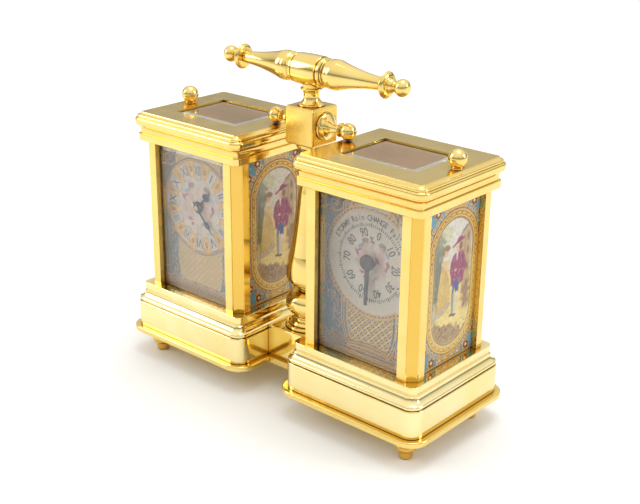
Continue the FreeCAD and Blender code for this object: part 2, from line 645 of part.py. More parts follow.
def place(distance, bearing, start=(0.0, 0.0)):
    """Point at a distance and a clockwise bearing from another, in the plane of the dial."""
    a = math.radians(bearing)
    return start[0] + distance * math.sin(a), start[1] + distance * math.cos(a)


BARREL_BEARING = 180.0
THIRD_BEARING = 60.0
CONTRATE_BEARING = 312.0
BARREL_AT = place(MODULE * (BARREL_TEETH + CENTRE_PINION) / 2, BARREL_BEARING)
THIRD_AT = place(MODULE * (CENTRE_TEETH + THIRD_PINION) / 2, THIRD_BEARING)
CONTRATE_AT = place(MODULE * (THIRD_TEETH + CONTRATE_PINION) / 2, CONTRATE_BEARING, THIRD_AT)
MINUTE_BEARING = 235.0
MINUTE_AT = place(MODULE * (CANNON_TEETH + MINUTE_TEETH) / 2, MINUTE_BEARING)
GREAT_Y = -4.4              # planes of the wheels, between the plates
CENTRE_Y = 2.6
THIRD_Y = -2.2
CONTRATE_Y = -0.2
MOTION_Y = -8.1             # motion work, between the dial and the front plate
WHEEL_T = 0.6
HAND_T = 0.25
HOUR_HAND_Y = CLOCK_DIAL_Y - 0.15       # backs of the two hands
MINUTE_HAND_Y = HOUR_HAND_Y - 0.5
HOUR_PIPE_R = 1.15
CANNON_R = 0.7
PLATFORM_Z = MOVEMENT_Z1 + 0.4
PLATFORM_T = 0.7
WEB_T = 0.4                 # contrate wheel's web, with crown teeth that stand on it
CONTRATE_R = 3.6
CROWN_H = 0.45
ESCAPE_R = 2.6
ESCAPE_TEETH = 15
ESCAPE_PINION_R = 0.7
ESCAPE_Y = CONTRATE_Y + WEB_T + CROWN_H + ESCAPE_PINION_R - 0.2
ESCAPE_AT = (CONTRATE_AT[0], ESCAPE_Y)
BALANCE_R = 4.2
BALANCE_X = CONTRATE_AT[0] + 7.3
BALANCE_Y = 0.4


def on_case(shape, at=(0.0, 0.0), y=0.0):
    return moved(shape, LEFT + at[0], y, CENTRE_Z + at[1])


def rod_y(r, y0, y1):
    return cyl(r, 0, y0, 0, y1 - y0, Y)


def movement_plate(y, holes):
    plate = box(LEFT - MOVEMENT_HALF_X, LEFT + MOVEMENT_HALF_X, y, y + MOVEMENT_T,
                MOVEMENT_Z0, MOVEMENT_Z1)
    for at, r in holes:
        plate = plate.cut(on_case(rod_y(r + RUN, -1, MOVEMENT_T + 1), at, y))
    for x, z in pillar_places():
        plate = plate.cut(cyl(0.5 + FIT, x, y - 1, z, MOVEMENT_T + 2, Y))
    return plate


def pillar_places():
    inset = 1.3
    return [(LEFT + sx * (MOVEMENT_HALF_X - inset), z) for sx in (-1, 1)
            for z in (MOVEMENT_Z0 + inset, MOVEMENT_Z1 - inset)]


def movement_pillars():
    y0, y1 = MOVEMENT_FRONT_Y + MOVEMENT_T, MOVEMENT_BACK_Y
    solids = []
    for x, z in pillar_places():
        body = cyl(0.9, x, y0, z, y1 - y0, Y)
        ends = cyl(0.5, x, y0 - MOVEMENT_T, z, y1 - y0 + 2 * MOVEMENT_T, Y)
        solids.append(fused([body, ends]))
    return solids


def going_barrel():
    drum_r = MODULE * BARREL_TEETH / 2 - 1.0
    great = gear(BARREL_TEETH, WHEEL_T, 0.0)
    drum = rod_y(drum_r, 0.3, 5.2)
    solid = fused([moved(great, 0, 0, 0), drum])
    solid = solid.cut(rod_y(drum_r - 0.5, 0.8, 4.6)).cut(rod_y(1.0 + RUN, -1, 6))
    return on_case(solid, BARREL_AT, GREAT_Y)


def winding_arbor():
    y0, y1 = MOVEMENT_FRONT_Y, MOVEMENT_BACK_Y + MOVEMENT_T
    body = fused([rod_y(0.6, y0, y1), rod_y(1.0, GREAT_Y - 0.2, GREAT_Y + 5.4),
                  rod_y(2.0, GREAT_Y + 1.2, GREAT_Y + 4.2), box(-0.5, 0.5, y1, y1 + 2.6, -0.5, 0.5)])
    return on_case(body, BARREL_AT)


def centre_wheel():
    pinion = gear(CENTRE_PINION, 1.4, mesh_phase(CENTRE_PINION, BARREL_TEETH, 0.0, 0.0))
    wheel = spoked(CENTRE_TEETH, WHEEL_T, 0.0, ARBOR_R)
    y1 = MOVEMENT_BACK_Y + MOVEMENT_T
    return on_case(fused([moved(pinion, 0, GREAT_Y - 0.4), moved(wheel, 0, CENTRE_Y),
                          rod_y(ARBOR_R, MINUTE_HAND_Y - 0.5, y1), box(-0.4, 0.4, y1, y1 + 1.6, -0.4, 0.4)]))


def third_wheel():
    phase = mesh_phase(THIRD_PINION, CENTRE_TEETH, 0.0, THIRD_BEARING)
    pinion = gear(THIRD_PINION, 1.4, phase)
    wheel = spoked(THIRD_TEETH, WHEEL_T, 0.0, ARBOR_R)
    return on_case(fused([moved(pinion, 0, CENTRE_Y - 0.4), moved(wheel, 0, THIRD_Y),
                          rod_y(PIVOT_R, MOVEMENT_FRONT_Y, MOVEMENT_BACK_Y + MOVEMENT_T),
                          rod_y(ARBOR_R, -5.0, 5.2)]), THIRD_AT)


def contrate_wheel():
    """Crown wheel that turns the drive from the level arbors up to the platform."""
    phase = mesh_phase(CONTRATE_PINION, THIRD_TEETH, 0.0, CONTRATE_BEARING)
    pinion = gear(CONTRATE_PINION, 1.4, phase)
    rim_r = CONTRATE_R
    web = rod_y(rim_r, 0, WEB_T).cut(rod_y(rim_r - 0.7, -1, 1))
    bars = [turned_about(box(-0.35, 0.35, 0, WEB_T, -rim_r + 0.3, rim_r - 0.3), Y, 90 * i)
            for i in range(2)]
    teeth = [turned_about(box(-0.11, 0.11, 0.2, WEB_T + CROWN_H, rim_r - 0.55, rim_r), Y,
                          360.0 * (i + 0.5) / CONTRATE_TEETH) for i in range(CONTRATE_TEETH)]
    wheel = fused([web] + bars + teeth)
    return on_case(fused([moved(pinion, 0, THIRD_Y - 0.4), moved(wheel, 0, CONTRATE_Y),
                          rod_y(PIVOT_R, MOVEMENT_FRONT_Y, MOVEMENT_BACK_Y + MOVEMENT_T),
                          rod_y(ARBOR_R, -5.0, 5.2)]), CONTRATE_AT)


def platform():
    z = PLATFORM_Z
    plate = box(-MOVEMENT_HALF_X + 1, MOVEMENT_HALF_X - 1, MOVEMENT_FRONT_Y,
                MOVEMENT_BACK_Y + MOVEMENT_T, z, z + PLATFORM_T)
    legs = [box(sx * 11.0 - 0.5, sx * 11.0 + 0.5, y, y + MOVEMENT_T, MOVEMENT_Z1, z)
            for sx in (-1, 1) for y in (MOVEMENT_FRONT_Y, MOVEMENT_BACK_Y)]
    cock = fused([box(BALANCE_X - 0.9, BALANCE_X + 0.9, -5.0, 1.4, z + 2.6, z + 3.2),
                  box(BALANCE_X - 0.9, BALANCE_X + 0.9, -5.2, -4.4, z, z + 3.2)])
    bridge = fused([box(ESCAPE_AT[0] - 0.7, ESCAPE_AT[0] + 0.7, -3.0, ESCAPE_Y + 1, z + 2.0, z + 2.5),
                    box(ESCAPE_AT[0] - 0.7, ESCAPE_AT[0] + 0.7, -3.4, -2.6, z, z + 2.5)])
    whole = fused([plate, cock, bridge] + legs)
    whole = whole.cut(cyl(PIVOT_R + RUN, ESCAPE_AT[0], ESCAPE_Y, z - 1, 6))
    whole = whole.cut(cyl(PIVOT_R + RUN, BALANCE_X, BALANCE_Y, z - 1, 6))
    return moved(whole, LEFT)


def escape_wheel():
    """Upright arbor with its pinion on the crown wheel and the escape wheel above."""
    pinion_z = CENTRE_Z + CONTRATE_AT[1] + CONTRATE_R - 0.55
    leaf = [turned_about(box(-0.1, 0.1, 0, ESCAPE_PINION_R, 0, 1.0), V(0, 0, 1),
                         360.0 * i / ESCAPE_PINION) for i in range(ESCAPE_PINION)]
    pinion = moved(fused([cyl(0.4, 0, 0, 0, 1.0)] + leaf), 0, 0, pinion_z)
    z = PLATFORM_Z + PLATFORM_T + 0.4
    tooth = prism([(ESCAPE_R - 0.75, -0.25), (ESCAPE_R, 0.25), (ESCAPE_R - 0.75, 0.3)], z, z + 0.4)
    teeth = [turned_about(tooth, V(0, 0, 1), 360.0 * i / ESCAPE_TEETH) for i in range(ESCAPE_TEETH)]
    rim = cyl(ESCAPE_R - 0.7, 0, 0, z, 0.4).cut(cyl(ESCAPE_R - 1.2, 0, 0, z - 1, 3))
    bars = [turned_about(box(-0.2, 0.2, -ESCAPE_R + 1, ESCAPE_R - 1, z, z + 0.4), V(0, 0, 1), 90 * i)
            for i in range(2)]
    staff = cyl(PIVOT_R, 0, 0, pinion_z - 0.3, PLATFORM_Z + 2.4 - pinion_z + 0.3)
    return moved(fused([pinion, rim, staff] + teeth + bars), LEFT + ESCAPE_AT[0], ESCAPE_Y)


def balance_wheel():
    z = PLATFORM_Z + PLATFORM_T + 1.2
    rim = cyl(BALANCE_R, 0, 0, z, 0.5).cut(cyl(BALANCE_R - 0.5, 0, 0, z - 1, 3))
    bar = box(-BALANCE_R + 0.3, BALANCE_R - 0.3, -0.35, 0.35, z, z + 0.5)
    screws = [turned_about(cyl(0.2, BALANCE_R - 0.2, 0, z + 0.25, 0.65, V(1, 0, 0)), V(0, 0, 1),
                           360.0 * (i + 0.5) / 12) for i in range(12)]
    staff = cyl(PIVOT_R, 0, 0, PLATFORM_Z + 0.1, 3.0)
    return moved(fused([rim, bar, staff] + screws), LEFT + BALANCE_X, BALANCE_Y)


def cannon_pinion():
    """Pipe on the centre arbor that carries the minute hand and drives the minute wheel."""
    pipe = fused([moved(gear(CANNON_TEETH, 0.8, 0.0), 0, MOTION_Y),
                  rod_y(CANNON_R, MINUTE_HAND_Y - 0.35, MOTION_Y + 0.8)])
    return on_case(pipe.cut(rod_y(ARBOR_R + RUN, -13, 0)))


def minute_wheel():
    phase = mesh_phase(MINUTE_TEETH, CANNON_TEETH, 0.0, MINUTE_BEARING)
    wheel = gear(MINUTE_TEETH, 0.4, phase)
    pinion = gear(MINUTE_PINION, 1.2, 0.0)
    post = rod_y(PIVOT_R, MOTION_Y + 0.5, MOVEMENT_FRONT_Y + MOVEMENT_T)
    return on_case(fused([moved(wheel, 0, MOTION_Y + 0.3), moved(pinion, 0, MOTION_Y - 0.8), post]),
                   MINUTE_AT)


def hour_wheel():
    phase = mesh_phase(HOUR_TEETH, MINUTE_PINION, 0.0, MINUTE_BEARING + 180.0)
    wheel = gear(HOUR_TEETH, 0.5, phase)
    pipe = fused([moved(wheel, 0, MOTION_Y - 0.7),
                  rod_y(HOUR_PIPE_R, HOUR_HAND_Y - 0.3, MOTION_Y - 0.3)])
    return on_case(pipe.cut(rod_y(CANNON_R + RUN, -13, 0)))


def spade_hand(length, width, stem, hub_r, bore):
    """Spade hand pointing to +Z, its back at y = 0.  stem is half the stem's width."""
    tail = 0.22 * length
    outline = [(-stem, -tail), (-stem, length * 0.5), (-width / 2, length * 0.62, 0.45),
               (-stem * 0.6, length * 0.78, 0.3), (0, length), (stem * 0.6, length * 0.78),
               (width / 2, length * 0.62, 0.3), (stem, length * 0.5, 0.45), (stem, -tail)]
    blade = moved(section(outline), 0, -HAND_T).extrude(V(0, HAND_T, 0))
    hub = Part.makeCylinder(hub_r, HAND_T, V(0, -HAND_T, 0), Y)
    return fused([blade, hub]).cut(Part.makeCylinder(bore, 4, V(0, -2, 0), Y))


def hour_hand():
    hand = spade_hand(6.8, 2.3, 0.26, 1.6, HOUR_PIPE_R + FIT)
    return on_case(turned_about(hand, Y, HOUR_ANGLE), y=HOUR_HAND_Y)


def minute_hand():
    hand = spade_hand(8.3, 1.3, 0.17, 1.1, CANNON_R + FIT)
    return on_case(turned_about(hand, Y, MINUTE_ANGLE), y=MINUTE_HAND_Y)


# ---------------------------------------------------------------- hygrometer
POINTER_L = 10.6
POINTER_BOSS_R = 1.9
POINTER_Y = -11.1           # front of the pointer's boss
SPINDLE_R = 0.45


def hygro_bracket():
    """Bracket behind the dial that carries the spindle and anchors the moisture coil."""
    back = HYGRO_DIAL_Y + DIAL_T
    bar = box(-8.0, 8.0, back + 6.0, back + 6.8, -1.6, 1.6)
    legs = [box(sx * 7.5 - 0.5, sx * 7.5 + 0.5, back, back + 6.0, -1.6, 1.6) for sx in (-1, 1)]
    body = fused([bar] + legs).cut(rod_y(SPINDLE_R + RUN, back - 1, back + 8))
    return moved(body, RIGHT, 0, POINTER_Z)


def moisture_coil():
    """Flat spiral strip around the spindle, drawn as half turns of growing radius."""
    back = HYGRO_DIAL_Y + DIAL_T
    strip, step, turns = 0.2, 0.55, 14
    rings = []
    radius = 1.0
    for i in range(turns):
        centre = step / 4 * (1 if i % 2 else -1)
        ring = rod_y(radius + strip / 2, 0, 2.4).cut(rod_y(radius - strip / 2, -1, 4))
        half = box(-9, 9, -1, 4, 0, 9) if i % 2 else box(-9, 9, -1, 4, -9, 0)
        rings.append(moved(ring.common(half), centre))
        radius += step / 2
    collar = rod_y(0.95, 0, 2.4).cut(rod_y(SPINDLE_R + RUN, -1, 4))
    return moved(fused([collar] + rings), RIGHT, back + 1.6, POINTER_Z)


def pointer_spindle():
    back = HYGRO_DIAL_Y + DIAL_T
    return moved(rod_y(SPINDLE_R, POINTER_Y + 0.3, back + 7.2), RIGHT, 0, POINTER_Z)


def pointer():
    half = 0.42
    blade = prism([(-0.62, 0), (0.62, 0), (half, POINTER_L), (-half, POINTER_L)], 0, 0.3)
    blade = turned_about(blade, V(1, 0, 0), 90)
    boss = turned([(POINTER_BOSS_R, 0), (POINTER_BOSS_R, 0.6), (POINTER_BOSS_R - 0.35, 0.95, -0.3),
                   (0.02, 1.2, -0.1)])
    boss = turned_about(boss, V(1, 0, 0), 90)
    body = fused([blade, boss]).cut(rod_y(SPINDLE_R + FIT, -0.9, 1))
    return moved(turned_about(body, Y, POINTER_ANGLE), RIGHT, POINTER_Y + 1.2, POINTER_Z)


# ---------------------------------------------------------------- assembly
def build():
    add("base_plate", base_plate())
    add("feet", *[moved(foot(), x, y) for x, y in foot_places()])
    add("bridge_block", bridge_block())
    add("case_screws", *case_screws())
    for name, case_x, dial_y, bore, centre_z in (
            ("clock", LEFT, CLOCK_DIAL_Y, HOUR_PIPE_R + RUN, CENTRE_Z),
            ("hygrometer", RIGHT, HYGRO_DIAL_Y, SPINDLE_R + RUN, POINTER_Z)):
        add(name + "_plinth", plinth(case_x))
        add(name + "_corner_pillars", *pillars(case_x, dial_y))
        add(name + "_cornice", cornice(case_x))
        add(name + "_lid", lid(case_x))
        add(name + "_lid_glass", lid_glass(case_x))
        add(name + "_front_glass", front_glass(case_x))
        add(name + "_dial", dial(case_x, dial_y, bore, centre_z))
        add(name + "_left_panel", side_panel(case_x, -1))
        add(name + "_right_panel", side_panel(case_x, 1))
        add(name + "_back_door", door(case_x))
        add(name + "_door_glass", door_glass(case_x))
        add(name + "_door_knob", door_knob(case_x))
    add("lid_knobs", *lid_knobs())
    add("hinge_pins", *hinge_pins())
    add("column_foot", column_foot())
    add("column_bun", column_bun())
    add("column_baluster", column_baluster())
    add("tie_rod_and_nut", tie_rod(), tie_nut())
    add("centre_block", centre_block())
    add("side_finials", *side_finials())
    add("handle_neck", handle_neck())
    add("handle_barrel", handle_barrel())
    add("handle_left_arm", handle_arm(-1))
    add("handle_right_arm", handle_arm(1))
    train = [((0, 0), ARBOR_R), (THIRD_AT, PIVOT_R), (CONTRATE_AT, PIVOT_R), (BARREL_AT, 0.6)]
    add("movement_front_plate", movement_plate(MOVEMENT_FRONT_Y, train + [(MINUTE_AT, PIVOT_R)]))
    add("movement_back_plate", movement_plate(MOVEMENT_BACK_Y, train))
    add("movement_pillars", *movement_pillars())
    add("going_barrel", going_barrel())
    add("winding_arbor", winding_arbor())
    add("centre_wheel", centre_wheel())
    add("third_wheel", third_wheel())
    add("contrate_wheel", contrate_wheel())
    add("escapement_platform", platform())
    add("escape_wheel", escape_wheel())
    add("balance_wheel", balance_wheel())
    add("cannon_pinion", cannon_pinion())
    add("minute_wheel", minute_wheel())
    add("hour_wheel", hour_wheel())
    add("hour_hand", hour_hand())
    add("minute_hand", minute_hand())
    add("hygrometer_bracket", hygro_bracket())
    add("moisture_coil", moisture_coil())
    add("pointer_spindle", pointer_spindle())
    add("humidity_pointer", pointer())


build()
os.makedirs("parts", exist_ok=True)
for node_name, node_shape in nodes.items():
    assert node_shape.isValid(), node_name
    node_shape.exportStep("parts/" + node_name + ".step")
print(len(nodes), "nodes,", sum(len(s.Solids) for s in nodes.values()), "solids")
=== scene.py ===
import math

import bmesh
import bpy
import numpy as np
from mathutils import Matrix, Vector

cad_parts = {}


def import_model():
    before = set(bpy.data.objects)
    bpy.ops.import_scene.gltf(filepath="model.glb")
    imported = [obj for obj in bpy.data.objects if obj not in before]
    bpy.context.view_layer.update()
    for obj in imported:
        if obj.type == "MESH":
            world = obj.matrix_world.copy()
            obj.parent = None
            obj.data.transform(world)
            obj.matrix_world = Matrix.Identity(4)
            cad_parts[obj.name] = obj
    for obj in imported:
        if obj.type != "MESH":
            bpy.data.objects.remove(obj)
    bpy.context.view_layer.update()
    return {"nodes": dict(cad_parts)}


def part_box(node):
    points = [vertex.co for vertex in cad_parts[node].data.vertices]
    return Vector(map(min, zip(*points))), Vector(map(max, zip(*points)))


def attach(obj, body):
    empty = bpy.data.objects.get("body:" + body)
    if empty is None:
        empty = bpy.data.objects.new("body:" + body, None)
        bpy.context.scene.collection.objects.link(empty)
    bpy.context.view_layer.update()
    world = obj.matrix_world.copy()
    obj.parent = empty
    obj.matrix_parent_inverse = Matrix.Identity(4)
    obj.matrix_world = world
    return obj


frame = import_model()
nodes = frame["nodes"]
MM = 0.001


# ------------------------------------------------------------ shader helpers
def linear(r, g, b):
    """A colour given as screen values from 0 to 255, as the linear values that shaders take."""
    return tuple((c / 255 / 12.92) if c <= 10 else ((c / 255 + 0.055) / 1.055) ** 2.4 for c in (r, g, b))


class Shader:
    """A material with a Principled surface, and short calls that add and wire its nodes."""

    def __init__(self, name, **fixed):
        self.material = bpy.data.materials.new(name)
        self.material.use_nodes = True
        self.tree = self.material.node_tree
        self.tree.nodes.clear()
        self.surface = self.add("BsdfPrincipled", **fixed)
        self.out = self.add("OutputMaterial", Surface=self.surface.outputs[0])
        place = self.add("TexCoord").outputs["Object"]
        self.mm = self.add("VectorMath", "SCALE", place, Scale=1 / MM).outputs[0]

    def add(self, kind, operation=None, *first, **named):
        node = self.tree.nodes.new("ShaderNode" + kind)
        if operation:
            node.operation = operation
        for socket, value in [*enumerate(first), *named.items()]:
            self.feed(node, socket, value)
        return node

    def feed(self, node, socket, value):
        if isinstance(value, bpy.types.NodeSocket):
            self.tree.links.new(value, node.inputs[socket])
        elif isinstance(value, tuple) and len(value) == 3 and node.inputs[socket].type == "RGBA":
            node.inputs[socket].default_value = (*value, 1)
        else:
            node.inputs[socket].default_value = value

    def math(self, operation, *values):
        return self.add("Math", operation, *values).outputs[0]

    def noise(self, scale, detail=4.0, stretch=None, roughness=0.55):
        """Noise with `scale` cycles in a millimetre, from 0 to 1."""
        place = self.mm
        if stretch:
            place = self.add("VectorMath", "MULTIPLY", place, stretch).outputs[0]
        return self.add("TexNoise", Vector=place, Scale=scale, Detail=detail, Roughness=roughness).outputs[0]

    def between(self, value, low, high, start=0.0, end=1.0):
        """value from start..end mapped to low..high."""
        return self.add("MapRange", None, value, start, end, low, high).outputs[0]

    def mix(self, factor, first, second, blend="MIX"):
        node = self.tree.nodes.new("ShaderNodeMix")
        node.data_type, node.blend_type = "RGBA", blend
        for socket, value in (("Factor", factor), ("A", first), ("B", second)):
            kind = "VALUE" if socket == "Factor" else "RGBA"
            target = next(s for s in node.inputs if s.name == socket and s.type == kind)
            if isinstance(value, bpy.types.NodeSocket):
                self.tree.links.new(value, target)
            else:
                target.default_value = (*value, 1) if isinstance(value, tuple) else value
        return next(s for s in node.outputs if s.type == "RGBA")

    def set(self, **sockets):
        for name, value in sockets.items():
            self.feed(self.surface, name.replace("_", " "), value)

    def bump(self, height, strength, depth_mm):
        node = self.add("Bump", Height=height, Strength=strength, Distance=depth_mm * MM)
        self.set(Normal=node.outputs[0])


def metal(name, light, dark, shine, brushed=None, grain=0.15, painted_shade_tone=None, crevice_shade=None, corners=False):
    """Metal with cloudy colour, hazed patches and polishing marks. Given the two shade colours, it gets
    painted shade from
    ambient occlusion: a warmer, darker tone into its hollows and near-black in its tightest crevices. corners
    adds painted shade on faces that stand at 45 degrees."""
    s = Shader(name, Metallic=1.0)
    cloud = s.noise(0.11, 3.0)
    colour = s.mix(s.between(cloud, 0, 1, 0.3, 0.7), light, dark)
    fine = s.noise(3.0, 5.0)
    colour = s.mix(s.between(fine, 0, 0.14, 0.45, 0.75), colour, dark)
    if crevice_shade:
        wide = s.add("AmbientOcclusion", Distance=3.0 * MM)
        near = s.add("AmbientOcclusion", Distance=0.55 * MM)
        wide.samples = near.samples = 8
        # painted shade: a warmer, darker tone wherever ambient occlusion finds a hollow within about 3 mm
        colour = s.mix(s.between(wide.outputs["AO"], 0.85, 0, 0.35, 0.95), colour, painted_shade_tone)
        # painted shade: faces turned 45 degrees between front and side are darkened towards the warm shade
        # tone
        if corners:
            facing = s.add("SeparateXYZ", None, s.add("NewGeometry").outputs["Normal"])
            slant = s.math("ABSOLUTE", s.math("MULTIPLY", facing.outputs[0], facing.outputs[1]))
            colour = s.mix(s.between(slant, 0, 0.75, 0.2, 0.45), colour, painted_shade_tone)
        # painted shade: near-black where parts meet and in tight crevices, from ambient occlusion
        colour = s.mix(s.between(near.outputs["AO"], 0.95, 0, 0.25, 0.75), colour, crevice_shade)
    marks = s.noise(2.2, 2.0, stretch=brushed or (1.0, 1.0, 1.0))
    rough = s.between(s.math("ADD", marks, s.noise(0.23, 4.0)), shine * 0.55, shine * 1.5, 0.7, 1.3)
    s.set(Base_Color=colour, Roughness=rough)
    s.bump(marks, grain, 0.01)
    return s.material



# ------------------------------------------------------------ metals and glass
PALE, LEMON, STRAW = (0.95, 0.82, 0.46), (0.92, 0.75, 0.32), (0.90, 0.69, 0.25)
HONEY, DEEP, ORANGE = (0.86, 0.62, 0.19), (0.80, 0.53, 0.12), (0.74, 0.44, 0.09)
# colours of the painted shade that ambient occlusion lays into the hollows and crevices of the brass below
painted_shading = {"painted_shade_tone": (0.76, 0.46, 0.07), "crevice_shade": (0.10, 0.045, 0.005)}
# the plinth gets paler brass than the rest of the case: a painted reflection of the bright floor on its front
# faces
plinth_brass = metal("plinth_brass", PALE, LEMON, 0.10, **painted_shading)
case_brass = metal("polished_brass", LEMON, STRAW, 0.10, **painted_shading)
pillar_brass = metal("pillar_brass", STRAW, HONEY, 0.13, brushed=(5.0, 5.0, 0.2), grain=0.35,
                     corners=True, **painted_shading)
cornice_brass = metal("cornice_brass", STRAW, HONEY, 0.10, **painted_shading)
lid_brass = metal("lid_brass", STRAW, HONEY, 0.17, brushed=(0.4, 6.0, 1.0), grain=0.15, **painted_shading)
block_brass = metal("block_brass", HONEY, DEEP, 0.22, brushed=(7.0, 7.0, 0.3), grain=0.6, **painted_shading)
turned_brass = metal("turned_brass", STRAW, HONEY, 0.10, brushed=(0.5, 0.5, 7.0), grain=0.2, **painted_shading)
handle_brass = metal("handle_brass", STRAW, HONEY, 0.12, brushed=(7.0, 0.5, 0.5), grain=0.3, **painted_shading)
# the feet get the darkest, most orange brass: painted shade under the case
shaded_foot_brass = metal("shaded_foot_brass", DEEP, ORANGE, 0.14, brushed=(0.5, 0.5, 7.0), grain=0.25, **painted_shading)
plate_gilt = metal("gilt_plate", (0.80, 0.58, 0.25), (0.66, 0.45, 0.17),
                   0.30, brushed=(0.3, 1.0, 8.0), grain=0.5)
wheel_brass = metal("wheel_brass", (0.82, 0.60, 0.24), (0.62, 0.42, 0.15),
                    0.22, brushed=(3.0, 1.0, 3.0), grain=0.4)
steel = metal("polished_steel", (0.56, 0.57, 0.59), (0.42, 0.43, 0.45),
              0.2, brushed=(4.0, 1.0, 4.0), grain=0.3)
blued = metal("blued_steel", (0.030, 0.045, 0.11), (0.012, 0.016, 0.045), 0.25, grain=0.2)
pointer_black = metal("pointer_black", (0.075, 0.078, 0.08), (0.045, 0.045, 0.05), 0.42, grain=0.3)
coil_metal = metal("coil_bronze", (0.55, 0.34, 0.17), (0.42, 0.22, 0.10), 0.35, grain=0.4)


def ruby_material():
    s = Shader("ruby", IOR=1.76)
    s.set(Base_Color=s.mix(s.noise(1.5), (0.55, 0.02, 0.05), (0.30, 0.01, 0.03)),
          Roughness=s.between(s.noise(3.0), 0.05, 0.2))
    return s.material


ruby = ruby_material()


def glass_material(name, tint, bevel, clear, haze):
    """Old plate glass: tinted and smeared, dusty as far as it isn't clear, and paler on its ground bevels."""
    s = Shader(name, IOR=1.5)
    s.surface.inputs["Transmission Weight"].default_value = clear
    smear = s.noise(0.16, 5.0)
    facing = s.add("SeparateXYZ", None, s.add("NewGeometry").outputs["Normal"])
    flat = s.math("MAXIMUM", *(s.math("ABSOLUTE", facing.outputs[k]) for k in (1, 2)))
    plate = s.mix(s.between(smear, 0, 1, 0.35, 0.7), tint, tuple(0.94 * c for c in tint))
    s.set(Base_Color=s.mix(s.between(flat, 0, 1, 0.975, 0.99), bevel, plate),
          Roughness=s.between(smear, 0.0, haze, 0.4, 0.8))
    through = s.add("BsdfTransparent", None, (*(0.96 * c for c in tint), 1.0))
    path = s.add("LightPath")
    both = s.add("MixShader", None, path.outputs["Is Shadow Ray"], s.surface.outputs[0], through.outputs[0])
    s.feed(s.out, "Surface", both.outputs[0])
    return s.material


front_glass = glass_material("front_glass", (0.90, 0.89, 0.875), (0.97, 0.97, 0.96), 0.955, 0.02)
lid_glass = glass_material("lid_glass", (0.62, 0.43, 0.22), (0.88, 0.96, 0.88), 0.72, 0.03)


def porcelain_body():
    s = Shader("porcelain_body", IOR=1.5)
    s.surface.inputs["Coat Weight"].default_value = 0.6
    tone = s.noise(0.3, 5.0)
    s.set(Base_Color=s.mix(tone, linear(226, 220, 206), linear(208, 198, 180)),
          Roughness=s.between(s.noise(1.2), 0.15, 0.4))
    s.bump(s.noise(1.0, 3.0), 0.15, 0.05)
    return s.material


ceramic = porcelain_body()


def enamel_material():
    """Painted glaze. The paint attribute holds the colour, and gilding in its alpha."""
    s = Shader("painted_enamel", IOR=1.5)
    s.surface.inputs["Coat Weight"].default_value = 0.25
    s.surface.inputs["Coat Roughness"].default_value = 0.08
    paint = s.add("Attribute")
    paint.attribute_name = "paint"
    gilt = paint.outputs["Alpha"]
    stroke = s.noise(1.4, 3.0)
    colour = s.mix(s.between(stroke, 0.0, 0.25, 0.45, 0.75), paint.outputs["Color"],
                   s.mix(1.0, paint.outputs["Color"], (0.60, 0.55, 0.48), "MULTIPLY"))
    s.set(Base_Color=colour, Metallic=s.math("MULTIPLY", gilt, 0.62),
          Roughness=s.math("ADD", s.math("MULTIPLY", gilt, 0.12), s.between(s.noise(0.8), 0.14, 0.3)))
    s.bump(stroke, 0.15, 0.03)
    return s.material


enamel = enamel_material()


def ink_material():
    s = Shader("dial_ink", IOR=1.45)
    tone = s.noise(4.0, 4.0)
    s.set(Base_Color=s.mix(s.between(tone, 0, 1, 0.35, 0.7), linear(40, 42, 48), linear(70, 68, 70)),
          Roughness=s.between(tone, 0.3, 0.5))
    return s.material


ink = ink_material()

for name, node in nodes.items():
    if "door_glass" in name or "front_glass" in name:
        choice = front_glass
    elif "lid_glass" in name:
        choice = lid_glass
    elif name.endswith(("_panel", "_dial")):
        choice = ceramic
    elif name in ("hour_hand", "minute_hand"):
        choice = blued
    elif name == "humidity_pointer":
        choice = pointer_black
    elif name in ("case_screws", "hinge_pins", "tie_rod_and_nut", "winding_arbor", "pointer_spindle",
                  "escape_wheel"):
        choice = steel
    elif name == "moisture_coil":
        choice = coil_metal
    elif name.startswith("movement_") or name in ("escapement_platform", "hygrometer_bracket"):
        choice = plate_gilt
    elif name in ("going_barrel", "centre_wheel", "third_wheel", "contrate_wheel", "balance_wheel",
                  "cannon_pinion", "minute_wheel", "hour_wheel"):
        choice = wheel_brass
    elif name.endswith("_lid"):
        choice = lid_brass
    elif name == "centre_block":
        choice = block_brass
    elif name in ("handle_barrel", "handle_left_arm", "handle_right_arm", "side_finials"):
        choice = handle_brass
    elif name in ("handle_neck", "lid_knobs", "column_foot", "column_bun", "column_baluster"):
        choice = turned_brass
    elif name == "feet":
        choice = shaded_foot_brass
    elif name.endswith("_pillars") and "corner" in name:
        choice = pillar_brass
    elif name.endswith("_plinth"):
        choice = plinth_brass
    elif name.endswith("_cornice") or name == "base_plate":
        choice = cornice_brass
    else:
        choice = case_brass
    node.data.materials.clear()
    node.data.materials.append(choice)


# ------------------------------------------------------------ enamel painting
PITCH = 0.15     # grid step of the painted faces
EDGE = 0.16      # softness of a brush edge
GOLD = linear(214, 172, 92)
GOLD_LINE = linear(150, 100, 42)
TURQUOISE = linear(86, 146, 176)


def mottle(u, v, size, seed):
    """Smooth patchy noise from -1 to 1 with patches about `size` wide."""
    rng = np.random.RandomState(seed)
    cells = rng.uniform(-1, 1, (64, 64))
    x, y = u / size + 31.5, v / size + 31.5
    x0, y0 = np.floor(x).astype(int), np.floor(y).astype(int)
    fx, fy = x - x0, y - y0
    fx, fy = fx * fx * (3 - 2 * fx), fy * fy * (3 - 2 * fy)
    at = lambda a, b: cells[b % 64, a % 64]
    return ((at(x0, y0) * (1 - fx) + at(x0 + 1, y0) * fx) * (1 - fy)
            + (at(x0, y0 + 1) * (1 - fx) + at(x0 + 1, y0 + 1) * fx) * fy)


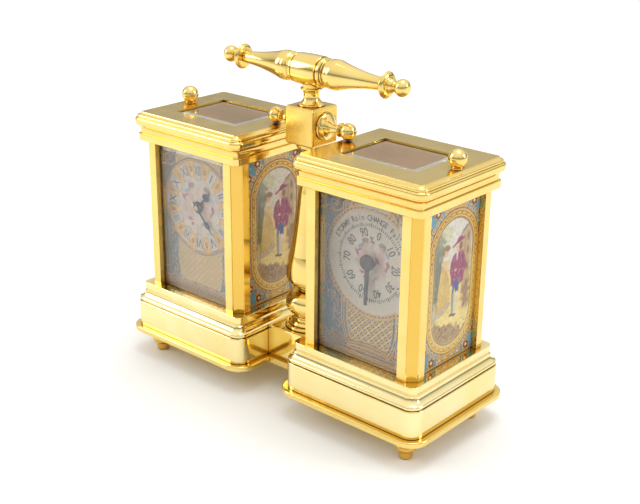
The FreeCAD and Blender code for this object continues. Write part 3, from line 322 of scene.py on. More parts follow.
class Painting:
    """Colour, gilding and relief on a grid of points, in millimetres from the centre of the porcelain."""

    def __init__(self, half_u, half_v, ground):
        steps = [round(2 * half / PITCH) for half in (half_u, half_v)]
        self.u, self.v = np.meshgrid(np.linspace(-half_u, half_u, steps[0] + 1),
                                     np.linspace(-half_v, half_v, steps[1] + 1))
        self.rgb = np.ones(self.u.shape + (3,)) * ground
        self.gold = np.zeros(self.u.shape)
        self.relief = np.zeros(self.u.shape)

    def lay(self, distance, colour, strength=1.0, soft=EDGE, gilt=0.0, rise=0.0):
        """Paints where distance (mm, negative inside) says. gilt turns it to gold, rise lifts it in mm."""
        cover = np.clip(0.5 - distance / soft, 0, 1) * strength
        self.rgb += (np.array(colour) - self.rgb) * cover[..., None]
        self.gold += (gilt - self.gold) * cover
        self.relief += (rise - self.relief) * cover

    def gild(self, distance, strength=1.0, rise=0.05):
        self.lay(distance - 0.07, GOLD_LINE, 0.7 * strength, gilt=0.2, rise=rise / 2)
        self.lay(distance, GOLD, strength, gilt=1.0, rise=rise)

    def oval(self, u, v, rx, ry, turn=0.0):
        c, s = math.cos(math.radians(turn)), math.sin(math.radians(turn))
        x, y = (self.u - u) * c + (self.v - v) * s, -(self.u - u) * s + (self.v - v) * c
        return (np.hypot(x / rx, y / ry) - 1) * min(rx, ry)

    def line(self, points, width):
        """Distance to a brush line through the points; width may differ at its two ends."""
        first, last = width if isinstance(width, tuple) else (width, width)
        best = np.full(self.u.shape, 1e9)
        count = len(points) - 1
        for i, ((au, av), (bu, bv)) in enumerate(zip(points, points[1:])):
            du, dv = bu - au, bv - av
            t = np.clip(((self.u - au) * du + (self.v - av) * dv) / (du * du + dv * dv), 0, 1)
            half = (first + (last - first) * (i + t) / count) / 2
            best = np.minimum(best, np.hypot(self.u - au - t * du, self.v - av - t * dv) - half)
        return best

    def shape(self, points):
        """Signed distance to a closed outline."""
        best, inside = np.full(self.u.shape, 1e9), np.zeros(self.u.shape, bool)
        for (au, av), (bu, bv) in zip(points, points[1:] + points[:1]):
            du, dv = bu - au, bv - av
            t = np.clip(((self.u - au) * du + (self.v - av) * dv) / (du * du + dv * dv), 0, 1)
            best = np.minimum(best, np.hypot(self.u - au - t * du, self.v - av - t * dv))
            inside ^= ((av > self.v) != (bv > self.v)) & (self.u < au + (self.v - av) * du / (dv or 1e-9))
        return np.where(inside, -best, best)

    def spiral(self, u, v, radius, start, turns, width=0.24):
        """A gilded scroll that winds in from `radius`."""
        a = np.linspace(0, 1, 26)
        angle = math.radians(start) + a * turns * 2 * math.pi
        r = radius * (1 - 0.85 * a)
        self.gild(self.line(list(zip(u + r * np.cos(angle), v + r * np.sin(angle))), (width, width * 0.6)))

    def flower(self, u, v, r, petals=6):
        self.gild(self.oval(u, v, r * 1.05, r * 1.05), rise=0.03)
        for k in range(petals):
            a = 2 * math.pi * k / petals + 0.3
            self.lay(self.oval(u + 0.62 * r * math.cos(a), v + 0.62 * r * math.sin(a), 0.36 * r, 0.36 * r),
                     linear(120, 42, 26), rise=0.06)
        self.gild(self.oval(u, v, 0.36 * r, 0.36 * r), rise=0.12)
        self.lay(self.oval(u, v, 0.2 * r, 0.2 * r), linear(244, 236, 222), rise=0.09)

    def mottled(self, size, seed, amount):
        self.rgb *= 1 + amount * mottle(self.u, self.v, size, seed)[..., None]

    def piece(self, name, place):
        """The painting as an open sheet of quads, 0.03 mm off the porcelain and lifted by its relief. place
        turns (u, v, height) in mm into a point.
        """
        rows, cols = self.u.shape
        across, along = self.u - (self.u.min() + self.u.max()) / 2, self.v
        points = np.array(place(across.ravel(), along.ravel(), 0.03 + self.relief.ravel())).T * MM
        index = np.arange(rows * cols).reshape(rows, cols)
        quads = np.stack([index[:-1, :-1], index[:-1, 1:], index[1:, 1:], index[1:, :-1]], -1).reshape(-1, 4)
        mesh = bpy.data.meshes.new(name)
        mesh.from_pydata(points.tolist(), [], quads.tolist())
        paint = mesh.color_attributes.new("paint", "FLOAT_COLOR", "POINT")
        colour_and_gold = np.dstack([np.clip(self.rgb, 0, 1), self.gold]).astype(np.float32)
        paint.data.foreach_set("color", colour_and_gold.ravel())
        mesh.shade_smooth()
        mesh.materials.append(enamel)
        made = bpy.data.objects.new(name, mesh)
        bpy.context.collection.objects.link(made)
        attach(made, "frame")


def arch(p, half_w, half_h):
    """A tall frame with round ends: distance outside it, and the length run along it."""
    straight = half_h - half_w
    over = np.maximum(np.abs(p.v) - straight, 0)
    away = np.hypot(p.u, over)
    angle = np.arctan2(over, np.abs(p.u))
    run = np.where(over > 0, straight + angle * half_w, np.abs(p.v)) * np.sign(p.v)
    return away - half_w, run


def ground_lace(p, seed, count=260):
    """Gold lace and little dots all over the blue ground."""
    rng = np.random.RandomState(seed)
    p.mottled(1.6, seed, 0.16)
    half_u, half_v = -p.u.min(), p.v.max()
    for _ in range(count):
        u, v = rng.uniform(-half_u, half_u), rng.uniform(-half_v, half_v)
        if rng.rand() < 0.62:
            p.spiral(u, v, rng.uniform(0.4, 0.75), rng.uniform(0, 360), rng.choice((-0.8, 0.8)), 0.2)
        else:
            p.lay(p.oval(u, v, 0.17, 0.17), linear(232, 226, 214), 0.85, rise=0.03)


def scroll_row(p, spots, r):
    """Open gilded rings with a white bead, like the crest of a border."""
    for k, (u, v) in enumerate(spots):
        p.gild(np.abs(p.oval(u, v, r, r * 0.9)) - 0.15)
        p.lay(p.oval(u, v, 0.36 * r, 0.36 * r), linear(240, 236, 226), 0.9, rise=0.05)
        p.spiral(u + r * 0.9, v, r * 0.7, 90 + 180 * (k % 2), 0.7, 0.22)


def gilt_band(p, away, run):
    """The arched gold frame: rails, and long cartouches alternating with beads."""
    p.lay(away, linear(196, 150, 70), gilt=0.75, rise=0.07)
    for rail in (0.1, 2.05):
        p.lay(np.abs(away + rail) - 0.11, linear(116, 74, 26), 0.9, gilt=0.3)
    p.lay(np.abs(away + 0.38) - 0.1, linear(238, 204, 122), 0.9, gilt=1.0, rise=0.12)
    p.lay(np.abs(away + 1.8) - 0.1, linear(238, 204, 122), 0.9, gilt=1.0, rise=0.12)
    along, across = (run / 2.3 % 1 - 0.5) * 2.3, away + 1.09
    box = np.hypot(np.maximum(np.abs(along) - 0.62, 0), across) - 0.36
    p.lay(box - 0.12, linear(122, 78, 28), 0.9, gilt=0.3, rise=0.03)
    p.lay(box + 0.06, linear(222, 180, 92), gilt=1.0, rise=0.14)
    p.lay(np.hypot(along, across) - 0.13, linear(134, 88, 34), 0.85, gilt=0.3)
    bead = np.hypot(np.abs(along) - 1.15, across)
    p.lay(bead - 0.2, linear(140, 92, 36), 0.8, gilt=0.3, rise=0.05)


def garden_panel():
    """Side panel: a couple in a garden in a gilded arched frame on a turquoise flowered ground."""
    p = Painting(11.85, 19.7, TURQUOISE)
    p.u -= 1.1      # the frame stands a little behind the middle of the porcelain
    ground_lace(p, 5)
    for side in (-1, 1):
        scroll_row(p, [(-3.6 + 2.4 * k, side * 18.55) for k in range(4)], 0.85)
        scroll_row(p, [(side * 9.95, -11.2 + 2.8 * k) for k in range(9)], 0.6)
        p.gild(np.abs(p.v - side * 19.45) - 0.12)
        p.gild(np.abs(p.u - side * 10.9) - 0.12)
    for su in (-1, 1):
        for sv in (-1, 1):
            p.flower(su * 6.9, sv * 18.0, 1.2)
            p.flower(su * 9.9, sv * 14.7, 1.15)
    away, run = arch(p, 9.6, 17.7)
    ring = np.hypot((run / 1.7 % 1 - 0.5) * 1.7, away - 0.75)
    p.gild(np.maximum(np.abs(ring - 0.5) - 0.14, np.abs(away - 0.75) - 0.8))
    gilt_band(p, away, run)
    picture = away + 2.35

    def within(distance, tone, strength=1.0, soft=0.45):
        p.lay(np.maximum(distance, picture), linear(*tone), strength, soft)

    rough, fine = mottle(p.u, p.v, 1.0, 8) * 0.5, mottle(p.u, p.v, 0.45, 12) * 0.4
    within(picture, (214, 208, 194), soft=0.2)
    scenery(p, within, rough, fine)
    lady(p, within)
    gentleman(p, within)
    calm_faces(p, within)
    p.rgb *= np.where(picture < 0, 0.93 + 0.28 * fine + 0.12 * rough, 1)[..., None]
    p.lay(np.abs(picture) - 0.08, linear(116, 74, 26), 0.9, gilt=0.3)
    return p


def scenery(p, within, rough, fine):
    """Trees on the left, a house with a slanting roof on the right, and a flowery foreground."""
    within(p.v - 3.0 + rough * 2, (224, 200, 124), soft=6.0)
    within(p.oval(-5.9, 3.5, 1.9, 10.5) + rough * 2, (104, 106, 84), 0.9, 1.0)
    within(p.oval(-3.6, 12.3, 2.2, 2.0) + rough * 2, (200, 196, 154), 0.8, 1.2)
    within(p.oval(-5.0, 10.0, 1.4, 2.6) + fine * 2, (134, 138, 112), 0.8, 0.8)
    house = p.shape([(2.9, 11.0), (6.6, 13.6), (7.0, -7.5), (4.4, -9.0), (3.2, 3.0)])
    within(house + rough * 0.4, (182, 152, 104), 0.9, 0.8)
    within(p.line([(2.7, 11.0), (4.6, 12.4), (6.6, 13.4)], 0.55) + fine * 0.3, (122, 92, 62), 0.85, 0.4)
    for v in (9.8, 6.4, 2.4, -1.8):
        within(p.oval(5.5, v, 0.42, 1.0), (118, 78, 66), 0.8, 0.4)
    within(p.line([(4.3, 10.4), (4.1, 4.0), (3.7, -5.5)], 0.35) + fine * 0.3, (150, 116, 74), 0.7, 0.4)
    within(p.oval(5.4, -5.0, 1.6, 3.6) + rough * 2, (150, 116, 82), 0.8, 1.2)
    within(p.oval(4.8, -7.2, 0.5, 0.5) + fine, (150, 76, 84), 0.8, 0.3)
    within(p.v + 8.0 + rough * 2, (234, 210, 132), 0.85, 2.0)
    within(p.v + 11.2 + rough * 2.6 + 0.3 * p.u, (150, 118, 84), 0.85, 1.2)
    petals = ((150, 92, 100), (96, 70, 58), (206, 180, 118))
    for k in range(90):
        a, b = (math.sin(k * 12.9898) * 43758.5453) % 1, (math.sin(k * 78.233) * 12543.1231) % 1
        within(p.oval(-6 + 12 * a, -14.8 + 4.6 * b, 0.2, 0.2), petals[k % 3], 0.8, 0.2)


def lady(p, within):
    """The figure in the pale dress: skirt and folds, hem, arm, head and hair."""
    dress = p.shape([(-4.3, 5.8), (-2.4, 6.2), (-1.3, 1.5), (-0.9, -5.0), (-5.8, -7.0), (-5.4, -1.0)])
    within(dress, (224, 194, 112), 1, 0.5)
    for k in range(8):
        fold = [(-3.9 + 0.22 * k, 5.0 - 0.3 * k), (-4.9 + 0.56 * k, -1.0), (-5.6 + 0.62 * k, -6.3 + 0.18 * k)]
        within(p.line(fold, (0.12, 0.26)), (158, 118, 58), 0.75, 0.25)
    within(p.line([(-6.3, -6.9), (-3.4, -6.2), (-0.6, -4.9)], (1.1, 0.6)), (186, 168, 160), 0.95, 0.3)
    within(p.line([(-6.0, -7.4), (-3.0, -6.9), (-0.9, -5.5)], 0.16), (120, 92, 84), 0.8, 0.2)
    within(p.line([(-3.8, 5.4), (-2.6, 3.6), (-1.3, 3.2)], (0.85, 0.5)), (214, 184, 150), 0.9, 0.3)
    within(p.oval(-3.0, 7.8, 0.95, 1.15), (220, 190, 158), 1, 0.3)
    within(p.oval(-2.75, 9.0, 1.25, 0.75, -12), (142, 108, 62), 0.95, 0.3)
    within(p.oval(-3.95, 8.2, 0.4, 0.9), (142, 108, 62), 0.9, 0.3)


def gentleman(p, within):
    """The figure in the long brocade coat: coat and folds, breeches, stockings, shoes, head and hat."""
    shoulders = [(-0.2, 6.5), (1.2, 7.1), (3.6, 7.0), (4.7, 5.0),
                 (5.4, 2.9), (4.4, 1.0), (4.2, -0.6), (2.6, -1.3)]
    coat = p.shape(shoulders + [(1.7, 0.8), (0.9, -1.2), (-0.6, -0.9), (-0.7, 1.2), (-1.3, 2.7), (-1.0, 5.0)])
    within(coat, (148, 62, 96), 1, 0.4)
    brocade = np.maximum(mottle(p.u, p.v, 0.42, 31), 0) * 1.6
    patterned = p.shape(shoulders + [(-0.6, -0.9), (-1.3, 2.7)])
    within(np.maximum(patterned + 0.2, 0.55 - brocade), (190, 116, 138), 0.6, 0.3)
    folds = ([(1.1, 6.6), (1.0, 3.0), (1.6, 0.9)], [(3.5, 6.0), (3.9, 3.4), (3.0, 1.8)],
             [(-0.3, 5.4), (-0.1, 3.2), (0.6, 2.4)], [(3.4, 2.0), (3.6, 0.4), (3.4, -0.8)],
             [(0.2, 2.0), (0.0, 0.4), (0.2, -0.9)])
    for fold in folds:
        within(p.line(fold, (0.2, 0.32)), (98, 40, 70), 0.75, 0.25)
    within(p.oval(1.0, 2.7, 0.42, 0.36), (214, 180, 160), 0.95, 0.2)
    breeches = p.shape([(1.55, 0.9), (2.6, -0.9), (2.5, -3.4), (1.4, -3.0),
                        (0.9, -1.6), (0.5, -3.6), (-0.1, -3.4), (0.2, -1.0)])
    within(breeches, (74, 88, 146), 1, 0.3)
    within(p.line([(0.3, -3.5), (0.5, -7.6)], (1.0, 0.8)), (150, 144, 124), 1, 0.25)
    within(p.line([(1.9, -3.2), (1.3, -8.0)], (1.0, 0.75)), (210, 202, 186), 1, 0.25)
    for u, v in ((0.1, -8.2), (1.2, -8.5)):
        within(p.oval(u, v, 0.8, 0.34), (104, 92, 76), 1, 0.2)
    within(p.line([(1.4, 7.0), (1.3, 5.2)], (0.7, 0.25)), (226, 218, 202), 0.9, 0.2)
    within(p.oval(1.5, 8.15, 0.95, 1.12), (222, 188, 160), 1, 0.3)
    within(p.oval(2.6, 8.2, 0.7, 1.1), (134, 96, 56), 0.95, 0.3)
    within(p.oval(2.1, 9.9, 1.2, 0.7, 28), (140, 54, 88), 1, 0.25)
    within(p.line([(-0.4, 8.6), (1.4, 9.45), (3.7, 9.9)], (0.5, 0.7)), (154, 62, 98), 1, 0.25)
    within(p.line([(0.8, 9.3), (3.2, 9.9)], 0.2), (104, 42, 72), 0.8, 0.2)


def calm_faces(p, within):
    """Eyes, nose and mouth on ordinary proportions."""
    for u, v in ((-3.05, 7.75), (1.35, 8.1)):
        for side in (-0.36, 0.30):
            within(p.oval(u + side, v + 0.16, 0.13, 0.08), (84, 62, 54), 0.9, 0.12)
        within(p.line([(u, v + 0.1), (u - 0.06, v - 0.25)], 0.08), (188, 146, 124), 0.8, 0.1)
        within(p.oval(u - 0.03, v - 0.52, 0.2, 0.07), (168, 88, 82), 0.9, 0.1)


def trellis(p, mask, pitch, ground, line):
    """Gold ground with rows of small dark squares, each with a gold middle, where mask is negative."""
    a, b = (p.u + p.v) / math.sqrt(2), (p.u - p.v) / math.sqrt(2)
    cell = np.maximum(np.abs((a / pitch) % 1 - 0.5), np.abs((b / pitch) % 1 - 0.5)) * pitch
    p.lay(mask, linear(246, 204, 104), gilt=0.35, rise=0.02)
    p.lay(np.maximum(np.abs(cell - (0.36 * pitch - line)) - line, mask + 0.2), ground, 1.0, 0.12, rise=0.0)


def dial_ground(p, seed, upper):
    """Blue-grey ground with flowered dark top corners, side flourishes and a gilded foot border."""
    # the ground is dulled towards upper over its top part: the veil seen on the front glass, painted into the
    # dial
    p.lay(-p.v + 2.0, upper, 0.8, 14.0)
    ground_lace(p, seed, 170)
    for side in (-1, 1):
        shade = p.oval(side * 12.8, 18.9, 5.6, 4.4) + mottle(p.u, p.v, 1.2, 3) * 0.8
        p.lay(shade, linear(72, 68, 60), 0.9, 1.6)
        p.flower(side * 10.4, 17.2, 1.15)
        p.flower(side * 12.3, 13.8, 0.8)
        for r, start in ((2.2, 200), (1.4, 20)):
            p.spiral(side * 10.8, 15.6, r, start if side > 0 else 180 - start, side * 0.9, 0.28)
        for k in range(5):
            v = -4.6 - 2.5 * k
            p.spiral(side * (11.0 - 0.35 * k), v, 1.15, 90 + 180 * (k % 2), side * 0.9, 0.26)
            p.lay(p.oval(side * (9.4 - 0.5 * k), v - 1.2, 0.28, 0.28), linear(206, 150, 140), 0.9, rise=0.05)
            p.lay(p.oval(side * (11.6 - 0.2 * k), v + 1.0, 0.45, 1.0, side * 20), linear(118, 156, 186), 0.6)
    foot = p.v + 16.9 + 0.4 * np.cos(p.u * 1.6)
    p.lay(foot, linear(126, 100, 66), 0.85, 0.6)
    for k in range(20):
        u = -12.8 + 1.35 * k
        p.lay(p.oval(u, -18.2, 0.55, 0.7), linear(206, 164, 84), gilt=0.7, rise=0.04)
        p.lay(p.oval(u, -18.2, 0.3, 0.42), linear(92, 98, 96))
        p.gild(p.oval(u + 0.67, -17.3, 0.2, 0.2))
    p.gild(np.abs(p.v + 19.35) - 0.1)
    p.gild(np.abs(foot) - 0.12)


TONES = {
    "skin": (linear(216, 176, 162), 0.75),
    "hair": (linear(140, 112, 92), 0.8),
    "wing": (linear(104, 156, 196), 0.75),
    "ribbon": (linear(176, 36, 98), 0.9),
    "shade": (linear(196, 160, 154), 0.5),
    "cloth": (linear(236, 226, 214), 0.6),
    "leaf": (linear(150, 146, 108), 0.5),
}


def figures(p, u, v, parts, size):
    """Small soft figures: (kind, u, v, rx, ry, turn)."""
    for kind, du, dv, rx, ry, turn in parts:
        colour, strength = TONES[kind]
        dab = p.oval(u + du * size, v + dv * size, rx * size, ry * size, turn)
        p.lay(dab + 0.12 * mottle(p.u, p.v, 0.35, 4), colour, strength, 0.3)


CHERUBS = [
    ("skin", -1.3, 2.6, 1.2, 1.9, 20), ("skin", -2.6, 0.2, 0.9, 2.0, -30),
    ("skin", -1.2, -1.9, 0.7, 2.2, 12), ("shade", -0.6, 1.4, 0.5, 1.6, 15),
    ("skin", -3.2, -1.4, 0.6, 1.6, 40), ("skin", 1.4, 4.4, 0.5, 2.0, -35),
    ("skin", -0.75, 4.7, 0.95, 1.05, 0), ("hair", -0.95, 5.45, 1.15, 0.75, 10),
    ("hair", -1.7, 4.7, 0.4, 0.8, 0), ("skin", 4.4, 1.8, 1.3, 2.0, -12),
    ("skin", 5.2, -1.4, 0.8, 2.4, 14), ("skin", 3.6, -2.2, 0.8, 2.6, -6),
    ("shade", 4.1, 0.4, 0.5, 1.8, 0), ("skin", 2.6, 2.2, 0.5, 1.6, 50), ("skin", 4.5, 4.4, 0.95, 1.05, 0),
    ("hair", 4.7, 5.2, 1.2, 0.7, -12), ("hair", 5.4, 4.5, 0.4, 0.8, 0), ("wing", -2.6, 3.6, 1.1, 0.5, 35),
    ("wing", 6.5, 2.8, 0.45, 1.0, 30), ("ribbon", -3.7, 1.6, 0.45, 1.1, 35),
    ("ribbon", -3.0, 2.4, 0.8, 0.35, 20), ("ribbon", 3.1, 0.7, 0.6, 1.0, 20),
    ("ribbon", 2.4, -0.6, 0.35, 1.0, -20), ("ribbon", 6.7, 0.3, 0.55, 1.0, 15),
    ("ribbon", 6.3, -1.1, 0.35, 0.8, -15), ("ribbon", -1.7, -3.7, 1.0, 0.4, -10),
    ("ribbon", -0.8, -5.0, 0.6, 0.5, 30), ("shade", 1.0, -6.0, 0.5, 2.6, 0),
    ("shade", 2.2, -5.6, 0.25, 2.4, -8), ("cloth", 1.6, -3.6, 1.3, 1.2, 0),
    ("leaf", 3.0, -4.4, 0.9, 0.4, 30), ("shade", -0.75, 4.45, 0.3, 0.08, 0),
    ("shade", 4.5, 4.15, 0.3, 0.08, 0),
]

HYGROMETER_UP, CLOCK_UP = 3.475, 4.475    # dial centres above the middle of the porcelain
NUMERAL_RING = (9.5, 9.65)                # half width and half height of the ring of hour numerals


def hygrometer_face():
    p = Painting(14.45, 19.7, linear(66, 116, 150))
    dial_ground(p, 11, linear(112, 116, 112))
    disc = p.oval(0, HYGROMETER_UP, 12.4, 12.4)
    waist = 6.9 - 0.035 * np.maximum(-p.v - 11, 0) ** 2
    bowl = np.maximum(np.abs(p.u) - waist, -(p.v + 16.7) - 0.02 * p.u ** 2)
    for out in (1.5, 0.8):
        p.gild(np.maximum(np.abs(bowl - out) - 0.16, 1.2 - disc))
    trellis(p, np.maximum(bowl, 1.2 - disc), 1.42, linear(58, 82, 108), 0.15)
    angle = np.degrees(np.arctan2(p.u, p.v - HYGROMETER_UP))
    p.gild(disc - 1.25)
    dashes = np.maximum(np.abs(disc - 0.66) - 0.2, np.abs(angle / 5.0 % 1 - 0.5) - 0.3)
    p.lay(dashes, linear(84, 112, 150), 1.0, 0.14)
    p.lay(disc, linear(226, 217, 200), soft=0.2, rise=0.02)
    p.rgb *= np.where(disc < 0, 1 + 0.03 * mottle(p.u, p.v, 2.0, 9), 1)[..., None]
    figures(p, -0.9, HYGROMETER_UP + 0.5, CHERUBS, 0.86)
    return p


def clock_face():
    p = Painting(14.45, 19.7, linear(96, 116, 132))
    dial_ground(p, 23, linear(104, 92, 80))
    ring = p.oval(0, CLOCK_UP, 12.4, 12.6)
    bowl = np.maximum(np.abs(p.u) - 8.2 + 0.03 * np.maximum(-p.v - 11, 0) ** 2, -(p.v + 16.7))
    trellis(p, np.maximum(bowl, 0.4 - ring), 1.18, linear(136, 130, 130), 0.11)
    p.lay(ring, linear(228, 182, 96), gilt=0.4, rise=0.03)
    p.lay(np.abs(ring + 0.3) - 0.1, GOLD_LINE, 0.8, gilt=0.3)
    p.rgb *= np.where(ring < 0, 1 + 0.12 * mottle(p.u, p.v, 0.5, 6), 1)[..., None]
    p.lay(p.oval(0, CLOCK_UP, 7.6, 7.8), linear(222, 210, 194), soft=0.5)
    for u, v, turn in clock_places(*NUMERAL_RING):
        c, s = math.cos(math.radians(turn)), math.sin(math.radians(turn))
        x, y = (p.u - u) * c - (p.v - v - CLOCK_UP) * s, (p.u - u) * s + (p.v - v - CLOCK_UP) * c
        box = np.hypot(np.maximum(np.abs(x) - 0.75 - 0.06 * y, 0), np.maximum(np.abs(y) - 1.75, 0)) - 0.5
        p.lay(box - 0.14, linear(150, 104, 60), 0.8, gilt=0.3, rise=0.03)
        p.lay(box, linear(214, 208, 200), rise=0.07)
    for u, v, turn in clock_places(9.9, 10.1, 15):
        p.lay(p.oval(u, v + CLOCK_UP, 0.42, 0.75, -turn), linear(140, 52, 44), 0.95, rise=0.06)
        p.lay(p.oval(u, v + CLOCK_UP, 0.15, 0.2), linear(240, 214, 150), gilt=0.6, rise=0.08)
    figures(p, -1.6, CLOCK_UP, CHERUBS, 1.0)
    return p


def clock_places(rx, rz, offset=0):
    """Twelve places on an oval: u and v from the dial's centre, and the clock angle."""
    for k in range(12):
        a = math.radians(30 * k + offset)
        u, v = rx * math.sin(a), rz * math.cos(a)
        yield u, v, math.degrees(math.atan2(u, v))


def on_dial(node):
    lo, hi = (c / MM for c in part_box(node))
    mid = (lo + hi) / 2
    return lambda u, v, h: (mid.x + u, lo.y - h, mid.z + v)


def on_side(node, side):
    lo, hi = (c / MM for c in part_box(node))
    mid, face = (lo + hi) / 2, (hi if side > 0 else lo).x
    return lambda u, v, h: (face + side * h, mid.y + side * u, mid.z + v)


hygrometer_face().piece("hygrometer_dial_painting", on_dial("hygrometer_dial"))
clock_face().piece("clock_dial_painting", on_dial("clock_dial"))
garden = garden_panel()
for case in ("clock", "hygrometer"):
    for word, side in (("left", -1), ("right", 1)):
        garden.piece(f"{case}_{word}_panel_painting", on_side(f"{case}_{word}_panel", side))


# ------------------------------------------------------------ numerals and ticks
def lettering(name, node, centre_up, words, ticks=()):
    """Dial lettering as thin enamel. words are (text, u, v, clock angle, height, squeeze), and ticks are
    (inner radius, outer radius, clock angle, width)."""
    lo, hi = (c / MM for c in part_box(node))
    cx, y, cz = (lo.x + hi.x) / 2, lo.y - 0.1, (lo.z + hi.z) / 2 + centre_up
    made = bmesh.new()
    for text, u, v, angle, height, squeeze in words:
        curve = bpy.data.curves.new(name, "FONT")
        curve.body, curve.size, curve.align_x, curve.align_y = text, height * 1.35, "CENTER", "CENTER"
        curve.offset = 0.014 * height
        curve.resolution_u = 3
        holder = bpy.data.objects.new(name, curve)
        bpy.context.collection.objects.link(holder)
        flat = bpy.data.meshes.new_from_object(holder)
        spin = Matrix(((squeeze, 0, 0, 0), (0, 0, 0, 0), (0, 1, 0, 0), (0, 0, 0, 1)))
        turn = Matrix.Rotation(math.radians(angle), 4, "Y")
        place = Matrix.Translation((cx + u, y, cz + v))
        flat.transform(Matrix.Scale(MM, 4) @ place @ turn @ spin)
        made.from_mesh(flat)
        bpy.data.objects.remove(holder)
        bpy.data.meshes.remove(flat)
        bpy.data.curves.remove(curve)
    for r1, r2, angle, width in ticks:
        a = math.radians(angle)
        out = Vector((math.sin(a), 0, math.cos(a)))
        across = Vector((math.cos(a), 0, -math.sin(a))) * width / 2
        centre = Vector((cx, y, cz))
        corners = [centre + out * r + across * s for r, s in ((r1, -1), (r1, 1), (r2, 1), (r2, -1))]
        made.faces.new([made.verts.new(c * MM) for c in corners])
    mesh = bpy.data.meshes.new(name)
    made.to_mesh(mesh)
    made.free()
    mesh.materials.append(ink)
    piece = bpy.data.objects.new(name, mesh)
    bpy.context.collection.objects.link(piece)
    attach(piece, "frame")


def around(text, rx, rz, angle, height, squeeze):
    """A word or letter that stands outwards on an oval ring."""
    a = math.radians(angle)
    return text, rx * math.sin(a), rz * math.cos(a), angle, height, squeeze


numbers = [around(str(10 * k), 6.9, 7.3, 18 + 36 * k, 2.2, 0.8) for k in range(10)]
numbers.append(around("%", 5.0, 5.6, 2, 1.8, 0.8))
weather = []
for word, middle in (("STORMY", -52), ("Rain", -22), ("CHANGE", 9), ("Fair", 40), ("V.DRY", 66)):
    for i, letter in enumerate(word):
        weather.append(around(letter, 10.75, 10.75, middle + 5.2 * (i - (len(word) - 1) / 2), 1.5, 0.85))
lettering("hygrometer_numerals", "hygrometer_dial", HYGROMETER_UP, numbers + weather,
          [(8.75, 9.45 if k % 5 else 9.75, 3.6 * k, 0.19 if k % 5 else 0.28) for k in range(100)])
roman = ("XII", "I", "II", "III", "IIII", "V", "VI", "VII", "VIII", "IX", "X", "XI")
lettering("clock_numerals", "clock_dial", CLOCK_UP,
          [(word, u, v, turn, 2.7, min(0.85, 1.5 / len(word)))
           for word, (u, v, turn) in zip(roman, clock_places(*NUMERAL_RING))])


# ------------------------------------------------------------ movement details
def turned(mesh, x, y, z, profile, material, sides=28):
    """Adds a turned piece to the bmesh: profile is (radius, height) in mm towards the back from x, y, z."""
    first = len(mesh.faces)
    rings = []
    for radius, height in profile:
        turns = [2 * math.pi * k / sides for k in range(sides)]
        circle = [Vector((x + radius * math.cos(a), y + height, z + radius * math.sin(a))) for a in turns]
        rings.append([mesh.verts.new(point * MM) for point in circle])
    for low, high in zip(rings, rings[1:]):
        for k in range(sides):
            mesh.faces.new((low[k - 1], high[k - 1], high[k], low[k]))
    mesh.faces.new(rings[-1])
    mesh.faces.ensure_lookup_table()
    for face in mesh.faces[first:]:
        face.material_index, face.smooth = material, True


def movement_details():
    """Slotted pillar screws and jewelled pivot settings on the outside of the movement's back plate."""
    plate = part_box("movement_back_plate")[1].y / MM
    low, high = (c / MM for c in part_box("movement_pillars"))
    mesh = bmesh.new()
    for x in (low.x + 0.9, high.x - 0.9):
        for z in (low.z + 0.9, high.z - 0.9):
            turned(mesh, x, plate, z, ((1.15, 0.02), (1.15, 0.30), (0.95, 0.45), (0.5, 0.52)), 0)
            place = Matrix.Translation((x * MM, (plate + 0.5) * MM, z * MM))
            size = Matrix.Diagonal((1.7 * MM, 0.1 * MM, 0.2 * MM, 1))
            slit = bmesh.ops.create_cube(mesh, size=1, matrix=place @ Matrix.Rotation(x + z, 4, "Y") @ size)
            for face in {face for corner in slit["verts"] for face in corner.link_faces}:
                face.material_index = 1
    for name in ("centre_wheel", "third_wheel", "contrate_wheel"):
        lo, hi = (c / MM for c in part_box(name))
        x, z = (lo.x + hi.x) / 2, (lo.z + hi.z) / 2
        turned(mesh, x, plate, z, ((1.3, 0.02), (1.25, 0.12), (0.85, 0.14), (0.75, 0.03)), 2)
        turned(mesh, x, plate, z, ((0.74, 0.02), (0.66, 0.10), (0.3, 0.15)), 3)
    data = bpy.data.meshes.new("movement_details")
    bmesh.ops.recalc_face_normals(mesh, faces=mesh.faces)
    mesh.to_mesh(data)
    mesh.free()
    for material in (blued, pointer_black, wheel_brass, ruby):
        data.materials.append(material)
    made = bpy.data.objects.new("movement_details", data)
    bpy.context.collection.objects.link(made)
    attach(made, "frame")


movement_details()


# ------------------------------------------------------------ floor, light, camera
def floor():
    mesh = bpy.data.meshes.new("floor")
    mesh.from_pydata([(-6, -6, 0), (6, -6, 0), (6, 6, 0), (-6, 6, 0)], [], [(0, 1, 2, 3)])
    s = Shader("floor_white", IOR=1.4)
    s.set(Base_Color=s.mix(s.noise(0.01), (0.93, 0.93, 0.92), (0.90, 0.90, 0.895)),
          Roughness=s.between(s.noise(0.1), 0.5, 0.7))
    mesh.materials.append(s.material)
    made = bpy.data.objects.new("floor", mesh)
    bpy.context.collection.objects.link(made)


floor()


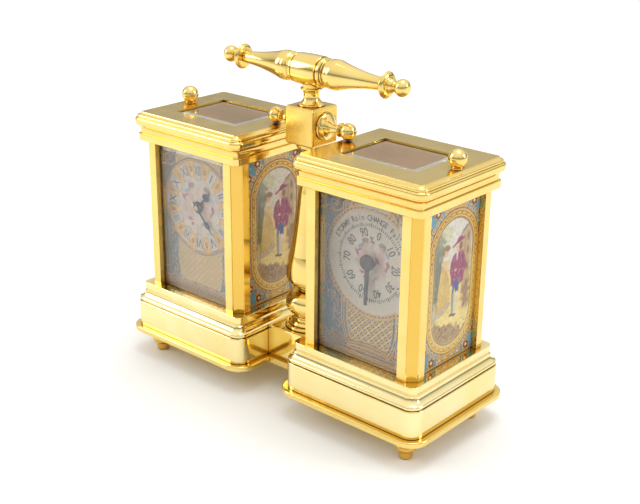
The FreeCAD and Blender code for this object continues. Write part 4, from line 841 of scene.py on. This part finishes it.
def world():
    """A white tent: bright overhead, a dark band above the pale horizon, and a small dim opening in front."""
    made = bpy.data.worlds.new("tent")
    made.use_nodes = True
    bpy.context.scene.world = made
    tree = made.node_tree
    tree.nodes.clear()
    way = tree.nodes.new("ShaderNodeTexCoord").outputs["Generated"]
    split = tree.nodes.new("ShaderNodeSeparateXYZ")
    tree.links.new(way, split.inputs[0])
    ramp = tree.nodes.new("ShaderNodeValToRGB")
    greys = ((0.0, 0.85), (0.06, 0.80), (0.13, 0.20), (0.18, 0.26), (0.30, 0.60), (0.37, 0.80), (0.65, 1.05))
    for place, grey in greys:
        stop = ramp.color_ramp.elements[0] if place == 0 else ramp.color_ramp.elements.new(place)
        stop.color = (grey, grey, grey * 0.985, 1)
    ramp.color_ramp.elements[-1].color = (1.15, 1.15, 1.14, 1)
    tree.links.new(split.outputs["Z"], ramp.inputs[0])
    facing = tree.nodes.new("ShaderNodeVectorMath")
    facing.operation = "DOT_PRODUCT"
    facing.inputs[1].default_value = Vector((0.61, -0.70, 0.37)).normalized()
    tree.links.new(way, facing.inputs[0])
    dim = tree.nodes.new("ShaderNodeMapRange")
    dim.interpolation_type = "SMOOTHSTEP"
    for socket, value in zip(dim.inputs[1:5], (0.990, 0.998, 1.0, 0.3)):
        socket.default_value = value
    tree.links.new(facing.outputs["Value"], dim.inputs[0])
    scaled = tree.nodes.new("ShaderNodeVectorMath")
    scaled.operation = "SCALE"
    tree.links.new(ramp.outputs[0], scaled.inputs[0])
    tree.links.new(dim.outputs[0], scaled.inputs["Scale"])
    sky = tree.nodes.new("ShaderNodeBackground")
    tree.links.new(scaled.outputs[0], sky.inputs[0])
    tree.links.new(sky.outputs[0], tree.nodes.new("ShaderNodeOutputWorld").inputs[0])


world()


def softbox(name, place, size, watts):
    lamp = bpy.data.lights.new(name, "AREA")
    lamp.shape, lamp.size, lamp.size_y, lamp.energy = "RECTANGLE", *size, watts
    made = bpy.data.objects.new(name, lamp)
    made.location = place
    made.rotation_euler = (Vector((0, 0, 0.04)) - Vector(place)).to_track_quat("-Z", "Y").to_euler()
    bpy.context.collection.objects.link(made)


softbox("overhead", (0.05, 0.10, 0.85), (0.45, 0.35), 2.0)
softbox("left_front", (-0.75, -0.55, 0.45), (0.35, 0.5), 2.6)
softbox("right_back", (0.75, 0.45, 0.45), (0.3, 0.4), 1.6)

CAMERA_AT, LENS = (0.17543, -0.197137, 0.139914), 63.745
YAW, PITCH_UP, ROLL = 41.036, -21.509, 0.647      # degrees
camera = bpy.data.cameras.new("camera")
camera.sensor_width, camera.lens, camera.clip_start = 36, LENS, 0.01
eye = bpy.data.objects.new("camera", camera)
yaw, pitch, roll = (math.radians(a) for a in (YAW, PITCH_UP, ROLL))
ahead = Vector((-math.sin(yaw) * math.cos(pitch), math.cos(yaw) * math.cos(pitch), math.sin(pitch)))
right = Vector((math.cos(yaw), math.sin(yaw), 0))
up = right.cross(ahead)
right, up = math.cos(roll) * right + math.sin(roll) * up, math.cos(roll) * up - math.sin(roll) * right
turned_to = Matrix((right, up, -ahead)).transposed().to_4x4()
eye.matrix_world = Matrix.Translation(CAMERA_AT) @ turned_to
bpy.context.collection.objects.link(eye)
bpy.context.scene.camera = eye
bpy.context.scene.view_settings.view_transform = "Standard"
